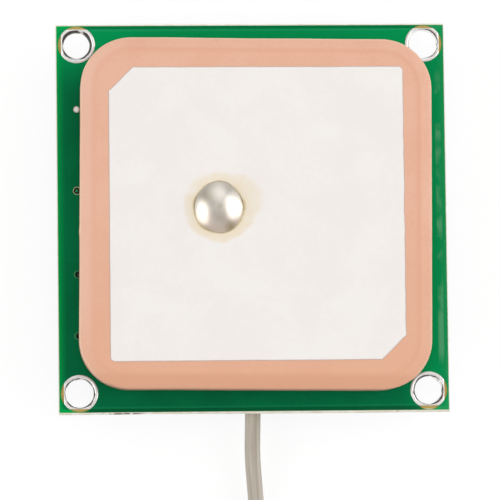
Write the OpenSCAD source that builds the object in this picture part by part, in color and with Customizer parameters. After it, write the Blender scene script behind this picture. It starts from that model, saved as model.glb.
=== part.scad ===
// GPS antenna module: a ceramic patch on a small amplifier board, with a screening can
// under the board and a thin coax pigtail.
// The can's flat face lies on z = 0, the patch faces +Z and the cable leaves towards -Y.

/* [Board] */
// Width of the board across X
board_w = 28; // [27:0.5:34]
// Depth of the board along Y
board_d = 28; // [27:0.5:34]
// Thickness of the bare laminate
board_t = 1; // [0.6:0.1:1.6]
// Width of the scored bevel along the front and back edges
score_w = 0.14; // [0.06:0.02:0.24]
// Depth of each score, on both faces of the laminate
score_depth = 0.3; // [0.1:0.02:0.3]
// Thickness of the copper foil
copper_t = 0.035; // [0.018:0.001:0.07]
// Thickness of the solder mask
mask_t = 0.04; // [0.02:0.005:0.08]
// Gap between the mask and the side edges of the board
mask_setback = 0.06; // [0.02:0.02:0.2]
// Gap between the copper pours and the edges of the board
pour_setback = 0.38; // [0.3:0.02:0.5]
// Corner radius of the copper pours
pour_corner_r = 0.4; // [0.1:0.1:0.6]

/* [Corner holes and vias] */
// Distance from a corner hole's centre to each board edge
hole_inset = 1.5; // [1.4:0.05:1.8]
// Clear diameter of a corner hole
hole_d = 2.1; // [1.6:0.05:2.2]
// Wall of the plated barrel
plating_t = 0.03; // [0.02:0.01:0.05]
// Diameter of the mask opening around a corner hole
ring_d = 2.67; // [2.5:0.01:2.8]
// Thickness of the tin on the bare copper
tin_t = 0.03; // [0.01:0.005:0.035]
// Distance from the vias to the left edge of the board
via_inset = 1.45; // [1.3:0.05:2]
// Outer diameter of a via
via_d = 0.5; // [0.4:0.05:0.6]

/* [Patch antenna] */
// Side of the square ceramic
ceramic_size = 25; // [24:0.1:26]
// Thickness of the ceramic
ceramic_t = 4; // [2:0.5:6]
// Radius of the ceramic's upright corners
ceramic_corner_r = 3.6; // [2:0.1:5]
// Width of the bevel around the ceramic's upper rim
rim_w = 0.75; // [0.3:0.05:1.2]
// Drop of that bevel
rim_h = 0.25; // [0.1:0.05:0.6]
// Turn of the ceramic on its tape, as it was placed by hand
ceramic_turn = -0.75; // [-2:0.05:2]
// Width of the printed silver patch
patch_w = 20.8; // [18:0.1:22]
// Depth of the printed silver patch
patch_d = 20.7; // [18:0.1:22]
// Sideways offset of the patch from the middle of the ceramic
patch_x = 0.09; // [-0.5:0.01:0.5]
// Leg of the two trimmed corners of the patch
patch_trim = 1.7; // [0.5:0.1:3]
// Radius of the two plain corners of the patch
patch_corner_r = 0.3; // [0.1:0.05:1]
// Thickness of the fired silver
silver_t = 0.02; // [0.01:0.005:0.05]
// Margin between the ceramic's edge and the silver and the tape under it
under_margin = 0.6; // [0.3:0.1:2]
// Thickness of the double-sided tape
tape_t = 0.1; // [0.05:0.05:0.5]

/* [Feed] */
// Place of the feed pin across X
feed_x = -2.65; // [-4:0.05:4]
// Place of the feed pin along Y
feed_y = 0.4; // [-2:0.05:2]
// Diameter of the feed pin
pin_d = 0.9; // [0.6:0.05:1.2]
// Clearance around the feed pin
pin_clear = 0.1; // [0.05:0.01:0.2]
// Diameter of the pin's flat head
pin_head_d = 2; // [1.5:0.1:2.6]
// Thickness of the pin's flat head
pin_head_t = 0.3; // [0.2:0.05:0.5]
// How far the pin stands out under the board
pin_tail = 0.6; // [0.3:0.05:1]
// Diameter of the solder dome over the head
dome_d = 3.7; // [3:0.1:5]
// Height of the solder dome
dome_h = 0.8; // [0.7:0.05:1.5]
// Diameter of the feed pad under the board
feed_pad_d = 1.9; // [1.6:0.1:2.2]

/* [Screening can] */
// Width of the can across X
can_w = 20; // [19.5:0.5:21.5]
// Depth of the can along Y
can_d = 19; // [18.5:0.5:19.5]
// Height of the can
can_h = 2.6; // [2.4:0.1:3.2]
// Offset of the can towards the back of the board
can_y = 1; // [0.8:0.1:1.4]
// Thickness of the can's sheet
sheet_t = 0.2; // [0.15:0.01:0.3]
// Radius of the can's upright corners
can_corner_r = 0.8; // [0.5:0.1:1.5]
// Outer radius of the bend around the can's flat face
bend_r = 0.4; // [0.35:0.05:0.5]
// Width of the bare copper strip on each side of the can's wall
foot_w = 0.7; // [0.5:0.05:0.9]
// Length of each solder tack along the can's foot
tack_len = 3.2; // [1:0.2:5]
// Leg of each solder tack
tack_leg = 0.5; // [0.3:0.05:0.5]

/* [Amplifier] */
// Width of a signal track
track_w = 0.5; // [0.3:0.05:0.7]
// Gap between a track and the copper pour
track_gap = 0.3; // [0.2:0.05:0.4]
// Side of the square filter package
filter_w = 3; // [2:0.1:3.4]
// Height of the filter's ceramic base
filter_h = 0.8; // [0.5:0.1:1.2]
// Thickness of the filter's metal lid
filter_lid_t = 0.15; // [0.1:0.05:0.3]
// Width of a transistor's moulded body
fet_w = 1.25; // [1:0.05:1.4]
// Length of a transistor's moulded body
fet_l = 2; // [1.8:0.1:2.2]
// Height of a transistor's moulded body
fet_h = 0.9; // [0.6:0.05:1.1]
// Width of a transistor's lead
lead_w = 0.3; // [0.2:0.05:0.4]

/* [Cable] */
// Outside diameter of the cable
cable_d = 1.13; // [0.81:0.01:1.13]
// Diameter over the braid
braid_d = 0.9; // [0.7:0.01:1]
// Diameter of the insulation inside the braid
core_insul_d = 0.68; // [0.4:0.01:0.68]
// Diameter of the centre conductor
core_d = 0.24; // [0.15:0.01:0.3]
// Length of bare insulation on each side of the can's front wall
strip_len = 1.1; // [0.8:0.1:1.4]
// Thickness of the tape that ties the coil
tie_t = 0.12; // [0.05:0.01:0.13]
// Width of that tape
tie_w = 2.4; // [1:0.2:4]

/* [Plug] */
// Outside diameter of the plug's round shell
plug_d = 2.6; // [2.2:0.1:3]
// Height of the plug
plug_h = 1.3; // [1.2:0.05:1.6]
// Wall of the plug's shell
plug_wall = 0.25; // [0.15:0.05:0.35]
// Diameter of the crimped sleeve on the cable
crimp_d = 1.5; // [1.3:0.05:1.7]
// Length of the crimped sleeve
crimp_len = 1.8; // [1.2:0.1:3]

/* [Hidden] */
$fn = 64;
over = 1;

// Levels from the table up
pad_z = can_h;
core_z = pad_z + copper_t;
core_top = core_z + board_t;
pour_top = core_top + copper_t;
mask_top = pour_top + mask_t;
tape_top = mask_top + tape_t;
ceramic_z = tape_top + silver_t;
ceramic_top = ceramic_z + ceramic_t;
patch_top = ceramic_top + silver_t;

// Outlines of the board's layers
pour_w = board_w - 2 * pour_setback;
pour_d = board_d - 2 * pour_setback;
mask_w = board_w - 2 * mask_setback;
mask_d = board_d - 2 * score_w;
drill_d = hole_d + 2 * plating_t;
feed_bore = pin_d + 2 * pin_clear;
feed_clear_d = feed_pad_d + 2 * track_gap;
under_w = ceramic_size - 2 * under_margin;
under_r = ceramic_corner_r - under_margin;
hole_x = board_w / 2 - hole_inset;
hole_y = board_d / 2 - hole_inset;
corners = [[-hole_x, hole_y], [hole_x, hole_y], [hole_x, -hole_y], [-hole_x, -hole_y]];

// Vias along the left edge, the first one filled with solder
via_x = -board_w / 2 + via_inset;
via_rows = [7.85, 2, -4, -8.4];
via_bore = via_d / 2;

// Route of the cable's middle line from the stripped end to the coil
lead_points = [
    [-0.05, -11.4, 1.95], [-0.05, -12.8, 1.95], [-0.05, -14.2, 1.95], [-0.08, -15.4, 1.92],
    [-0.1, -16.6, 1.8], [-0.05, -17.8, 1.6], [0.05, -19, 1.35], [0.15, -20.2, 1.1],
    [0.25, -21.4, 0.9], [0.32, -22.6, 0.78], [0.37, -23.8, 0.71], [0.4, -25, 0.7],
    [0.4, -26.4, 0.7], [0.4, -28, 0.7]
];
// Route from the coil over its own outer turn to the plug
tail_points = [
    [-0.2, -28, 1.7], [-0.2, -28.6, 1.7], [-0.2, -29.6, 1.8], [-0.15, -30.8, 1.88],
    [-0.05, -32.2, 1.74], [0.05, -33.5, 1.4], [0.1, -34.8, 1.08], [0.1, -36, 0.9],
    [0.1, -37, 0.9]
];
// The coil: two turns beside each other, and the end of the second on top of both
coil_place = [-6.2, -28];
outer_turn_r = 6.6;
inner_turn_r = 5.4;
middle_turn_r = (outer_turn_r + inner_turn_r) / 2;
lead_end = lead_points[len(lead_points) - 1];
tail_start = tail_points[0];
tail_end = tail_points[len(tail_points) - 1];
top_turn_angle = 80;
corridor = 0.03;
tie_angle = tie_w / middle_turn_r * 180 / PI;
tube_sides = 8;

// The can and the cable's stripped end
start_x = lead_points[0][0];
start_y = lead_points[0][1];
start_z = lead_points[0][2];
can_front = can_y - can_d / 2;
braid_y = can_front - strip_len;
insul_y = can_front + sheet_t + strip_len;
core_pad_d = 1.4;
core_pad_gap = 0.6;
core_tip = 0.4;
core_place = [start_x, insul_y + core_pad_gap];
core_y = core_place[1] + core_tip;
braid_pad_w = 2.6;
solder_side = 0.12;
notch_clear = 0.25;
tack_x = 6;
tack_y = 5.7;

// Parts of the amplifier: name, size, place and turn
cap_size = [1, 0.5, 0.5];
res_size = [1, 0.5, 0.35];
coil_size = [1.6, 0.8, 0.8];
chip_end_l = 0.25;
end_step = 0.02;
chips = [
    ["capacitor_1", cap_size, [-4.75, feed_y], 0],
    ["capacitor_2", cap_size, [-6.2, 7], 0],
    ["capacitor_3", cap_size, [1.1, 7], 0],
    ["capacitor_4", cap_size, [6.6, -2], 90],
    ["capacitor_5", cap_size, [2, 2.2], 90],
    ["capacitor_6", cap_size, [1.2, -2.4], 0],
    ["resistor_1", res_size, [-3.4, 4.2], 0],
    ["resistor_2", res_size, [3.2, -1.2], 90],
    ["inductor_1", coil_size, [-6.4, 4.9], 0],
    ["inductor_2", coil_size, [5.2, 3.2], 0],
    ["inductor_3", coil_size, [3.2, -4], 90]
];
amplifiers = [[-7.2, 2.2], [4.2, 6]];
filter_place = [-2.2, 7];
filter_pad_in = 0.3;
lid_inset = 0.15;
opening_margin = 0.1;
fet_gap = 0.1;
fet_pitch = 1.3;
foot_in = 0.12;
foot_out = 0.45;
foot_t = 0.12;
fet_leads = [for (side = [-1, 1]) for (row = [-1, 1]) [side, row]];

// Where a track meets a part: a chip's end, a transistor's foot, a side of the filter
function chip_named(name) = [for (c = chips) if (c[0] == name) c][0];
function chip_end(name, side) =
    let (c = chip_named(name))
    c[2] + side * (c[1][0] - chip_end_l) / 2 * [cos(c[3]), sin(c[3])];
function fet_foot(i, side, row) =
    amplifiers[i] + [side * (fet_w + foot_in + foot_out) / 2, row * fet_pitch / 2];
function filter_pad(side) = filter_place + [side * (filter_w / 2 - filter_pad_in), 0];
// From a straight along Y, then straight along X to b
function bent(a, b) = [a, [a[0], b[1]], b];

// Signal tracks from the feed pad to the cable, each a list of corner points
first_in = fet_foot(0, 1, -1);
first_out = fet_foot(0, -1, 1);
second_in = fet_foot(1, -1, 1);
second_out = fet_foot(1, 1, -1);
supply = chip_end("inductor_2", -1);
tracks = [
    [[feed_x, feed_y], chip_end("capacitor_1", 1)],
    bent(first_in, chip_end("capacitor_1", -1)),
    bent(first_out, chip_end("capacitor_2", -1)),
    bent(first_out, chip_end("inductor_1", -1)),
    [chip_end("capacitor_2", 1), filter_pad(-1)],
    [filter_pad(1), chip_end("capacitor_3", -1)],
    bent(second_in, chip_end("capacitor_3", 1)),
    bent(chip_end("capacitor_4", 1), second_out),
    bent(chip_end("capacitor_4", 1), chip_end("inductor_2", 1)),
    bent(chip_end("resistor_1", -1), chip_end("inductor_1", 1)),
    bent(chip_end("resistor_1", 1), supply),
    bent(chip_end("capacitor_5", 1), supply),
    bent(chip_end("resistor_2", 1), supply),
    bent(chip_end("resistor_2", -1), chip_end("capacitor_6", 1)),
    [chip_end("resistor_2", -1), chip_end("inductor_3", 1)],
    bent(chip_end("inductor_3", -1), core_place),
    bent(chip_end("capacitor_4", -1), core_place)
];

// The plug
plug_y = tail_end[1] - crimp_len - plug_d / 2;
plug_bore = plug_d - 2 * plug_wall;
plug_roof_t = 0.3;
plug_roof_z = plug_h - plug_roof_t;
neck_w = 1.1;
insulator_h = 0.35;
contact_d = 0.7;
contact_bore = 0.4;
contact_depth = 0.5;
contact_tip = 0.2;

corner_names = [for (i = [1:len(corners)]) str("corner_plating_", i)];
via_names = [for (i = [1:len(via_rows)]) str("via_", i)];
chip_names = [for (c = chips) c[0]];

// Shapes that several pieces share

module rounded_rect(w, d, r) {
    square([w - 2 * r, d], center = true);
    square([w, d - 2 * r], center = true);
    for (sx = [-1, 1], sy = [-1, 1])
        translate([sx * (w / 2 - r), sy * (d / 2 - r)]) circle(r);
}

// Half of an upright section whose upper rim is bevelled
module bevel_section(half, h, rim_in, rim_down) {
    polygon([[0, 0], [half, 0], [half, h - rim_down], [half - rim_in, h], [0, h]]);
}

// Half of an upright section whose upper rim is a quarter round
module round_section(half, h, rim_r) {
    square([half, h - rim_r]);
    square([half - rim_r, h]);
    translate([half - rim_r, h - rim_r]) circle(rim_r);
}

// A block from half sections: child 0 across X, child 1 along Y, child 2 turned at the corners
module rimmed_block(w, d, r) {
    for (turn = [0, 180]) {
        rotate([90, 0, turn]) translate([0, 0, r - d / 2]) linear_extrude(d - 2 * r) children(0);
        rotate([90, 0, turn + 90]) translate([0, 0, r - w / 2]) linear_extrude(w - 2 * r) children(1);
    }
    for (sx = [-1, 1], sy = [-1, 1])
        translate([sx * (w / 2 - r), sy * (d / 2 - r), 0]) rotate_extrude() children(2);
}

module at_corner_holes(d) {
    for (p = corners) translate(p) circle(d = d);
}

module at_vias(d) {
    for (y = via_rows) translate([via_x, y]) circle(d = d);
}

module at_feed(d) {
    translate([feed_x, feed_y]) circle(d = d);
}

module pour_outline() {
    rounded_rect(pour_w, pour_d, pour_corner_r);
}

// A track whose stretches run along X or Y
module track(points, w) {
    for (i = [0:len(points) - 2]) {
        span = points[i + 1] - points[i];
        translate((points[i] + points[i + 1]) / 2)
            square([abs(span[0]) + w, abs(span[1]) + w], center = true);
    }
}

module chip_footprint(c, grow) {
    translate(c[2]) rotate(c[3]) square([c[1][0] + 2 * grow, c[1][1] + 2 * grow], center = true);
}

module fet_footprint(i, grow) {
    foot = [foot_out - foot_in + 2 * grow, lead_w + 2 * grow];
    for (l = fet_leads) translate(fet_foot(i, l[0], l[1])) square(foot, center = true);
}

// Copper of the signal path, with room around it when grow is more than 0
module signal_copper(grow) {
    for (t = tracks) track(t, track_w + 2 * grow);
    at_feed(feed_pad_d + 2 * grow);
    translate(core_place) circle(d = core_pad_d + 2 * grow);
}

// Places where the lower mask leaves the copper bare
module lower_openings() {
    at_corner_holes(ring_d);
    at_feed(feed_pad_d);
    translate(core_place) circle(d = core_pad_d);
    translate([0, can_y]) difference() {
        rounded_rect(can_w + 2 * foot_w, can_d + 2 * foot_w, can_corner_r + foot_w);
        square([can_w - 2 * foot_w, can_d - 2 * foot_w], center = true);
    }
    translate([start_x, (braid_y + start_y) / 2])
        square([braid_pad_w, braid_y - start_y + 2 * foot_w], center = true);
    for (c = chips) chip_footprint(c, opening_margin);
    for (i = [0:len(amplifiers) - 1]) fet_footprint(i, opening_margin);
    translate(filter_place) square(filter_w + 2 * opening_margin, center = true);
}

module mask_outline() {
    square([mask_w, mask_d], center = true);
}

// The board and its layers

module board_core() {
    half = board_d / 2;
    section = [
        [-half, score_depth], [-half + score_w, 0], [half - score_w, 0], [half, score_depth],
        [half, board_t - score_depth], [half - score_w, board_t], [-half + score_w, board_t],
        [-half, board_t - score_depth]
    ];
    color("wheat") difference() {
        translate([-board_w / 2, 0, core_z]) rotate([90, 0, 90])
            linear_extrude(board_w) polygon(section);
        translate([0, 0, core_z - over]) linear_extrude(board_t + 2 * over) {
            at_corner_holes(drill_d);
            at_vias(via_d);
            at_feed(feed_bore);
        }
    }
}

module top_copper() {
    color("peru") translate([0, 0, core_top]) linear_extrude(copper_t) difference() {
        pour_outline();
        at_corner_holes(drill_d);
        at_vias(via_d);
        at_feed(feed_clear_d);
    }
}

module lower_copper_outline() {
    difference() {
        pour_outline();
        signal_copper(track_gap);
    }
    signal_copper(0);
}

module bottom_copper() {
    color("peru") translate([0, 0, pad_z]) linear_extrude(copper_t) difference() {
        lower_copper_outline();
        at_corner_holes(drill_d);
        at_vias(via_d);
        at_feed(feed_bore);
    }
}

// The mask lies on the laminate at the edges and steps up over the copper
module top_mask() {
    wrap = mask_t;
    color("seagreen") translate([0, 0, core_top]) {
        linear_extrude(mask_t) difference() {
            mask_outline();
            pour_outline();
            at_corner_holes(ring_d);
        }
        linear_extrude(copper_t + mask_t) difference() {
            rounded_rect(pour_w + 2 * wrap, pour_d + 2 * wrap, pour_corner_r + wrap);
            pour_outline();
            at_corner_holes(ring_d);
        }
        translate([0, 0, copper_t]) linear_extrude(mask_t) difference() {
            pour_outline();
            at_corner_holes(ring_d);
            at_vias(via_d);
            at_feed(feed_bore);
        }
    }
    color("seagreen") translate([0, 0, core_top]) linear_extrude(copper_t) difference() {
        at_feed(feed_clear_d);
        at_feed(feed_bore);
    }
}

// The mask fills the gaps in the lower copper and covers it with a flat film
module bottom_mask() {
    color("seagreen") difference() {
        union() {
            translate([0, 0, pad_z - mask_t]) linear_extrude(mask_t) mask_outline();
            translate([0, 0, pad_z]) linear_extrude(copper_t) difference() {
                mask_outline();
                lower_copper_outline();
            }
        }
        translate([0, 0, pad_z - mask_t - over]) linear_extrude(mask_t + copper_t + 2 * over) {
            lower_openings();
            at_vias(via_d);
            at_feed(feed_bore);
        }
    }
}

// Barrel and tinned rings of one corner hole, cut off where the copper pour ends
module corner_plating(i) {
    barrel_h = pour_top - pad_z;
    color("silver") difference() {
        union() {
            translate([0, 0, pad_z]) linear_extrude(barrel_h) translate(corners[i]) circle(d = drill_d);
            for (z = [pour_top, pad_z - tin_t])
                translate([0, 0, z]) linear_extrude(tin_t) intersection() {
                    translate(corners[i]) circle(d = ring_d);
                    pour_outline();
                }
        }
        translate([corners[i][0], corners[i][1], pad_z - over])
            cylinder(d = hole_d, h = barrel_h + 2 * over);
    }
}

// A via through the board, the first one filled
module via(i) {
    h = mask_top - pad_z + mask_t;
    tint = i == 0 ? "silver" : "darkseagreen";
    color(tint) translate([via_x, via_rows[i], pad_z - mask_t]) difference() {
        cylinder(d = via_d, h = h);
        if (i > 0) translate([0, 0, -over]) cylinder(d = via_bore, h = h + 2 * over);
    }
}

// The ceramic patch

module feed_hole(z, h, d) {
    translate([feed_x, feed_y, z - over]) cylinder(d = d, h = h + 2 * over);
}

module ceramic_block() {
    color("lightsalmon") difference() {
        translate([0, 0, ceramic_z]) rotate(ceramic_turn)
            rimmed_block(ceramic_size, ceramic_size, ceramic_corner_r) {
                bevel_section(ceramic_size / 2, ceramic_t, rim_w, rim_h);
                bevel_section(ceramic_size / 2, ceramic_t, rim_w, rim_h);
                bevel_section(ceramic_corner_r, ceramic_t, rim_w, rim_h);
            }
        feed_hole(ceramic_z, ceramic_t, feed_bore);
    }
}

module patch_outline() {
    w = patch_w / 2;
    d = patch_d / 2;
    intersection() {
        rounded_rect(patch_w, patch_d, patch_corner_r);
        polygon([[-w, d - patch_trim], [-w + patch_trim, d], [w, d], [w, -d + patch_trim],
            [w - patch_trim, -d], [-w, -d]]);
    }
}

module patch_electrode() {
    color("gainsboro") difference() {
        translate([patch_x, 0, ceramic_top]) linear_extrude(silver_t) patch_outline();
        feed_hole(ceramic_top, silver_t, feed_bore);
    }
}

module ground_electrode() {
    color("gainsboro") difference() {
        translate([0, 0, tape_top]) rotate(ceramic_turn) linear_extrude(silver_t)
            rounded_rect(under_w, under_w, under_r);
        feed_hole(tape_top, silver_t, feed_clear_d);
    }
}

module adhesive_tape() {
    color("white") difference() {
        translate([0, 0, mask_top]) rotate(ceramic_turn) linear_extrude(tape_t)
            rounded_rect(under_w, under_w, under_r);
        feed_hole(mask_top, tape_t, feed_clear_d);
    }
}

// The feed

module pin_solid() {
    translate([feed_x, feed_y, patch_top]) cylinder(d = pin_head_d, h = pin_head_t);
    translate([feed_x, feed_y, pad_z - pin_tail]) cylinder(d = pin_d, h = patch_top - pad_z + pin_tail);
}

module feed_pin() {
    color("goldenrod") pin_solid();
}

// A cap of a ball over the pin's head
module feed_solder() {
    ball_r = (pow(dome_d / 2, 2) + pow(dome_h, 2)) / (2 * dome_h);
    color("silver") difference() {
        translate([feed_x, feed_y, patch_top]) rotate_extrude() intersection() {
            translate([0, dome_h - ball_r]) circle(ball_r);
            square([dome_d, dome_h + over]);
        }
        pin_solid();
    }
}

module feed_joint() {
    tip = [pin_d / 2 + solder_side, -pin_tail];
    color("silver") translate([feed_x, feed_y, pad_z]) rotate_extrude()
        polygon([[pin_d / 2, 0], [feed_pad_d / 2, 0], tip, [pin_d / 2, -pin_tail]]);
}

// The can

module can_shell(w, d, h, r, bend) {
    rimmed_block(w, d, r) {
        round_section(w / 2, h, bend);
        round_section(d / 2, h, bend);
        round_section(r, h, bend);
    }
}

module shield_can() {
    inner_w = can_w - 2 * sheet_t;
    inner_d = can_d - 2 * sheet_t;
    inner_h = can_h - sheet_t + over;
    notch_w = core_insul_d + 2 * notch_clear;
    color("lightgray") difference() {
        translate([0, can_y, can_h]) mirror([0, 0, 1]) difference() {
            can_shell(can_w, can_d, can_h, can_corner_r, bend_r);
            translate([0, 0, -over])
                can_shell(inner_w, inner_d, inner_h, can_corner_r - sheet_t, bend_r - sheet_t);
        }
        translate([start_x - notch_w / 2, can_front - over, start_z])
            cube([notch_w, 2 * over, can_h - start_z + over]);
        translate([start_x, can_front + over, start_z]) rotate([90, 0, 0])
            cylinder(d = notch_w, h = 2 * over);
    }
}

// Solder fillets between the can's wall and the copper
module tack() {
    rotate([90, 0, 0]) linear_extrude(tack_len, center = true)
        polygon([[0, 0], [tack_leg, 0], [0, -tack_leg]]);
}

module can_solder() {
    color("silver") translate([0, can_y, pad_z]) for (turn = [0, 180]) rotate(turn) {
        for (t = [-1, 1]) translate([can_w / 2, t * tack_y, 0]) tack();
        for (t = [-1, 1]) translate([t * tack_x, can_d / 2, 0]) rotate(90) tack();
    }
}

// The amplifier under the can

module filter_base() {
    color("white") translate([filter_place[0], filter_place[1], pad_z - filter_h / 2])
        cube([filter_w, filter_w, filter_h], center = true);
}

module filter_lid() {
    lid_w = filter_w - 2 * lid_inset;
    color("gold") translate([filter_place[0], filter_place[1], pad_z - filter_h - filter_lid_t / 2])
        cube([lid_w, lid_w, filter_lid_t], center = true);
}

module amplifier_body(i) {
    color("dimgray") translate([amplifiers[i][0], amplifiers[i][1], pad_z - fet_gap - fet_h / 2])
        cube([fet_w, fet_l, fet_h], center = true);
}

// Bent leads from the middle of the body down to the copper
module amplifier_leads(i) {
    shoulder = fet_gap + fet_h / 2;
    bend_out = foot_in + foot_t;
    profile = [
        [0, -shoulder], [bend_out, -shoulder], [bend_out, -foot_t], [foot_out, -foot_t],
        [foot_out, 0], [foot_in, 0], [foot_in, -shoulder + foot_t], [0, -shoulder + foot_t]
    ];
    color("silver") translate([amplifiers[i][0], amplifiers[i][1], pad_z])
        for (turn = [0, 180], row = [-1, 1]) rotate(turn)
            translate([fet_w / 2, row * fet_pitch / 2, 0]) rotate([90, 0, 0])
                linear_extrude(lead_w, center = true) polygon(profile);
}

// A chip part: a body between two plated ends
module chip(c) {
    size = c[1];
    body = [size[0], size[1] - 2 * end_step, size[2] - end_step];
    tint = c[0][0] == "c" ? "burlywood" : c[0][0] == "r" ? "black" : "darkslategray";
    color(tint) translate([c[2][0], c[2][1], pad_z]) rotate(c[3]) {
        translate([0, 0, -body[2] / 2]) cube(body, center = true);
        for (side = [-1, 1])
            translate([side * (size[0] - chip_end_l) / 2, 0, -size[2] / 2])
                cube([chip_end_l, size[1], size[2]], center = true);
    }
}

// The stripped end of the cable

// A round bar along Y at the height of the stripped end
module end_bar(d, y0, y1) {
    translate([start_x, y1, start_z]) rotate([90, 0, 0]) cylinder(d = d, h = y1 - y0);
}

module cable_braid() {
    color("silver") end_bar(braid_d, start_y, braid_y);
}

module cable_insulation() {
    color("white") end_bar(core_insul_d, braid_y, insul_y);
}

module cable_core() {
    color("silver") end_bar(core_d, insul_y, core_y);
}

module braid_solder() {
    low = start_z - solder_side;
    half = braid_d / 2 + solder_side;
    y0 = start_y + solder_side;
    y1 = braid_y - solder_side;
    mound = [[-braid_pad_w / 2, pad_z], [braid_pad_w / 2, pad_z], [half, low], [-half, low]];
    color("silver") difference() {
        translate([start_x, y1, 0]) rotate([90, 0, 0]) linear_extrude(y1 - y0) polygon(mound);
        end_bar(braid_d, y0 - over, y1 + over);
    }
}

module core_solder() {
    low = start_z - core_d / 2 - solder_side;
    color("silver") difference() {
        translate([core_place[0], core_place[1], 0]) rotate_extrude()
            polygon([[0, pad_z], [core_pad_d / 2, pad_z], [core_d + solder_side, low], [0, low]]);
        end_bar(core_d, insul_y - over, core_y);
    }
}

// The free cable

function toward(a, b) = (b - a) / norm(b - a);
function along(p, i) = toward(p[max(i - 1, 0)], p[min(i + 1, len(p) - 1)]);
function across(t) = toward([0, 0, 0], cross(t, [0, 0, 1]));
function ring_point(p, t, k) =
    let (a = (k + 0.5) * 360 / tube_sides)
    p + cable_d / 2 * (cos(a) * across(t) + sin(a) * cross(across(t), t));

module tube(p) {
    n = tube_sides;
    last = len(p) - 1;
    points = [for (i = [0:last]) for (k = [0:n - 1]) ring_point(p[i], along(p, i), k)];
    walls = [for (i = [0:last - 1]) for (k = [0:n - 1])
        [i * n + k, i * n + (k + 1) % n, (i + 1) * n + (k + 1) % n, (i + 1) * n + k]];
    ends = [[for (k = [n - 1:-1:0]) k], [for (k = [0:n - 1]) last * n + k]];
    polyhedron(points, concat(walls, ends));
}

module cable_lead() {
    color("darkgray") tube(lead_points);
}

module cable_tail() {
    color("darkgray") tube(tail_points);
}

// Section of the two turns that lie beside each other
module turns_section(grow) {
    r = cable_d / 2 + grow;
    for (turn_r = [inner_turn_r, outer_turn_r]) translate([turn_r, lead_end[2]]) circle(r);
    translate([inner_turn_r, lead_end[2] - r]) square([outer_turn_r - inner_turn_r, 2 * r]);
}

// The two turns and the climb on top of them, open where the two free stretches join
module cable_coil() {
    half = cable_d / 2 + corridor;
    color("darkgray") difference() {
        translate([coil_place[0], coil_place[1], 0]) {
            rotate_extrude() turns_section(0);
            rotate_extrude(angle = top_turn_angle)
                translate([middle_turn_r, tail_start[2]]) circle(cable_d / 2);
        }
        translate([lead_end[0] - half, lead_end[1], lead_end[2] - half])
            cube([2 * half, outer_turn_r, 2 * half]);
        translate([tail_start[0] - half, tail_start[1] - outer_turn_r, tail_start[2] - half])
            cube([2 * half, outer_turn_r, 2 * half]);
    }
}

module cable_tie() {
    color("ivory") translate([coil_place[0], coil_place[1], 0]) rotate(180 - tie_angle / 2)
        rotate_extrude(angle = tie_angle) difference() {
            turns_section(tie_t);
            turns_section(0);
        }
}

module plug_shell() {
    x = tail_end[0];
    color("gold") difference() {
        union() {
            translate([x, plug_y, 0]) cylinder(d = plug_d, h = plug_h);
            translate(tail_end) rotate([90, 0, 0]) cylinder(d = crimp_d, h = crimp_len);
            translate([x - neck_w / 2, plug_y, plug_roof_z])
                cube([neck_w, crimp_len + plug_d / 2, plug_roof_t]);
        }
        translate([x, plug_y, -over]) cylinder(d = plug_bore, h = plug_roof_z + over);
    }
}

module plug_insulator() {
    color("white") translate([tail_end[0], plug_y, plug_roof_z - insulator_h]) difference() {
        cylinder(d = plug_bore, h = insulator_h);
        translate([0, 0, -over]) cylinder(d = contact_d, h = insulator_h + 2 * over);
    }
}

module plug_contact() {
    color("gold") translate([tail_end[0], plug_y, contact_tip]) difference() {
        cylinder(d = contact_d, h = plug_roof_z - contact_tip);
        translate([0, 0, -over]) cylinder(d = contact_bore, h = contact_depth + over);
    }
}

board_core();
top_copper();
bottom_copper();
top_mask();
bottom_mask();
for (i = [0:len(corners) - 1]) corner_plating(i);
for (i = [0:len(via_rows) - 1]) via(i);
ceramic_block();
patch_electrode();
ground_electrode();
adhesive_tape();
feed_pin();
feed_solder();
feed_joint();
shield_can();
can_solder();
filter_base();
filter_lid();
amplifier_body(0);  // amplifier_1_body
amplifier_leads(0);  // amplifier_1_leads
amplifier_body(1);  // amplifier_2_body
amplifier_leads(1);  // amplifier_2_leads
for (c = chips) chip(c);
cable_braid();
cable_insulation();
cable_core();
braid_solder();
core_solder();
cable_lead();
cable_coil();
cable_tail();
cable_tie();
plug_shell();
plug_insulator();
plug_contact();
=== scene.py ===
from math import asin, atan2, copysign, cos, exp, hypot, pi, radians, sin, tanh

import bmesh
import bpy
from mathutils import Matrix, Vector, noise


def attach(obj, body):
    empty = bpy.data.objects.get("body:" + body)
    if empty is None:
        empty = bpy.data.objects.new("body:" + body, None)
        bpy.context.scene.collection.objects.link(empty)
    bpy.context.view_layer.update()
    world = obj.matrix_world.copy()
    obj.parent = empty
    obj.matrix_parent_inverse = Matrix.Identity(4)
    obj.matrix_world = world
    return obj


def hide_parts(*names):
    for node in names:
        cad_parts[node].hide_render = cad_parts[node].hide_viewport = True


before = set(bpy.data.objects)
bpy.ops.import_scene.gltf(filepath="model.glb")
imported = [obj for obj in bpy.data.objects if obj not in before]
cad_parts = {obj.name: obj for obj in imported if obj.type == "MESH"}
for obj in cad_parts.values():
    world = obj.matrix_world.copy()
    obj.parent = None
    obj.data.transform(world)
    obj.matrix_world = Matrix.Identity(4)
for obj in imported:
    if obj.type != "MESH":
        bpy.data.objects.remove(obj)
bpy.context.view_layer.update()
print("frame loaded with", len(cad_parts), "nodes")

mm = 0.001
scene = bpy.context.scene
scene.view_settings.view_transform = "Standard"

# heights of the layers above the table, in mm, as in the part's source
maskLow, padLow, laminateLow, laminateTop = 2.56, 2.6, 2.635, 3.635
pourTop, maskTop, ceramicLow, ceramicTop, patchTop = 3.67, 3.71, 3.83, 7.83, 7.85
feed = {"x": -2.65, "y": 0.4, "bore": 0.55}


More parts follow.
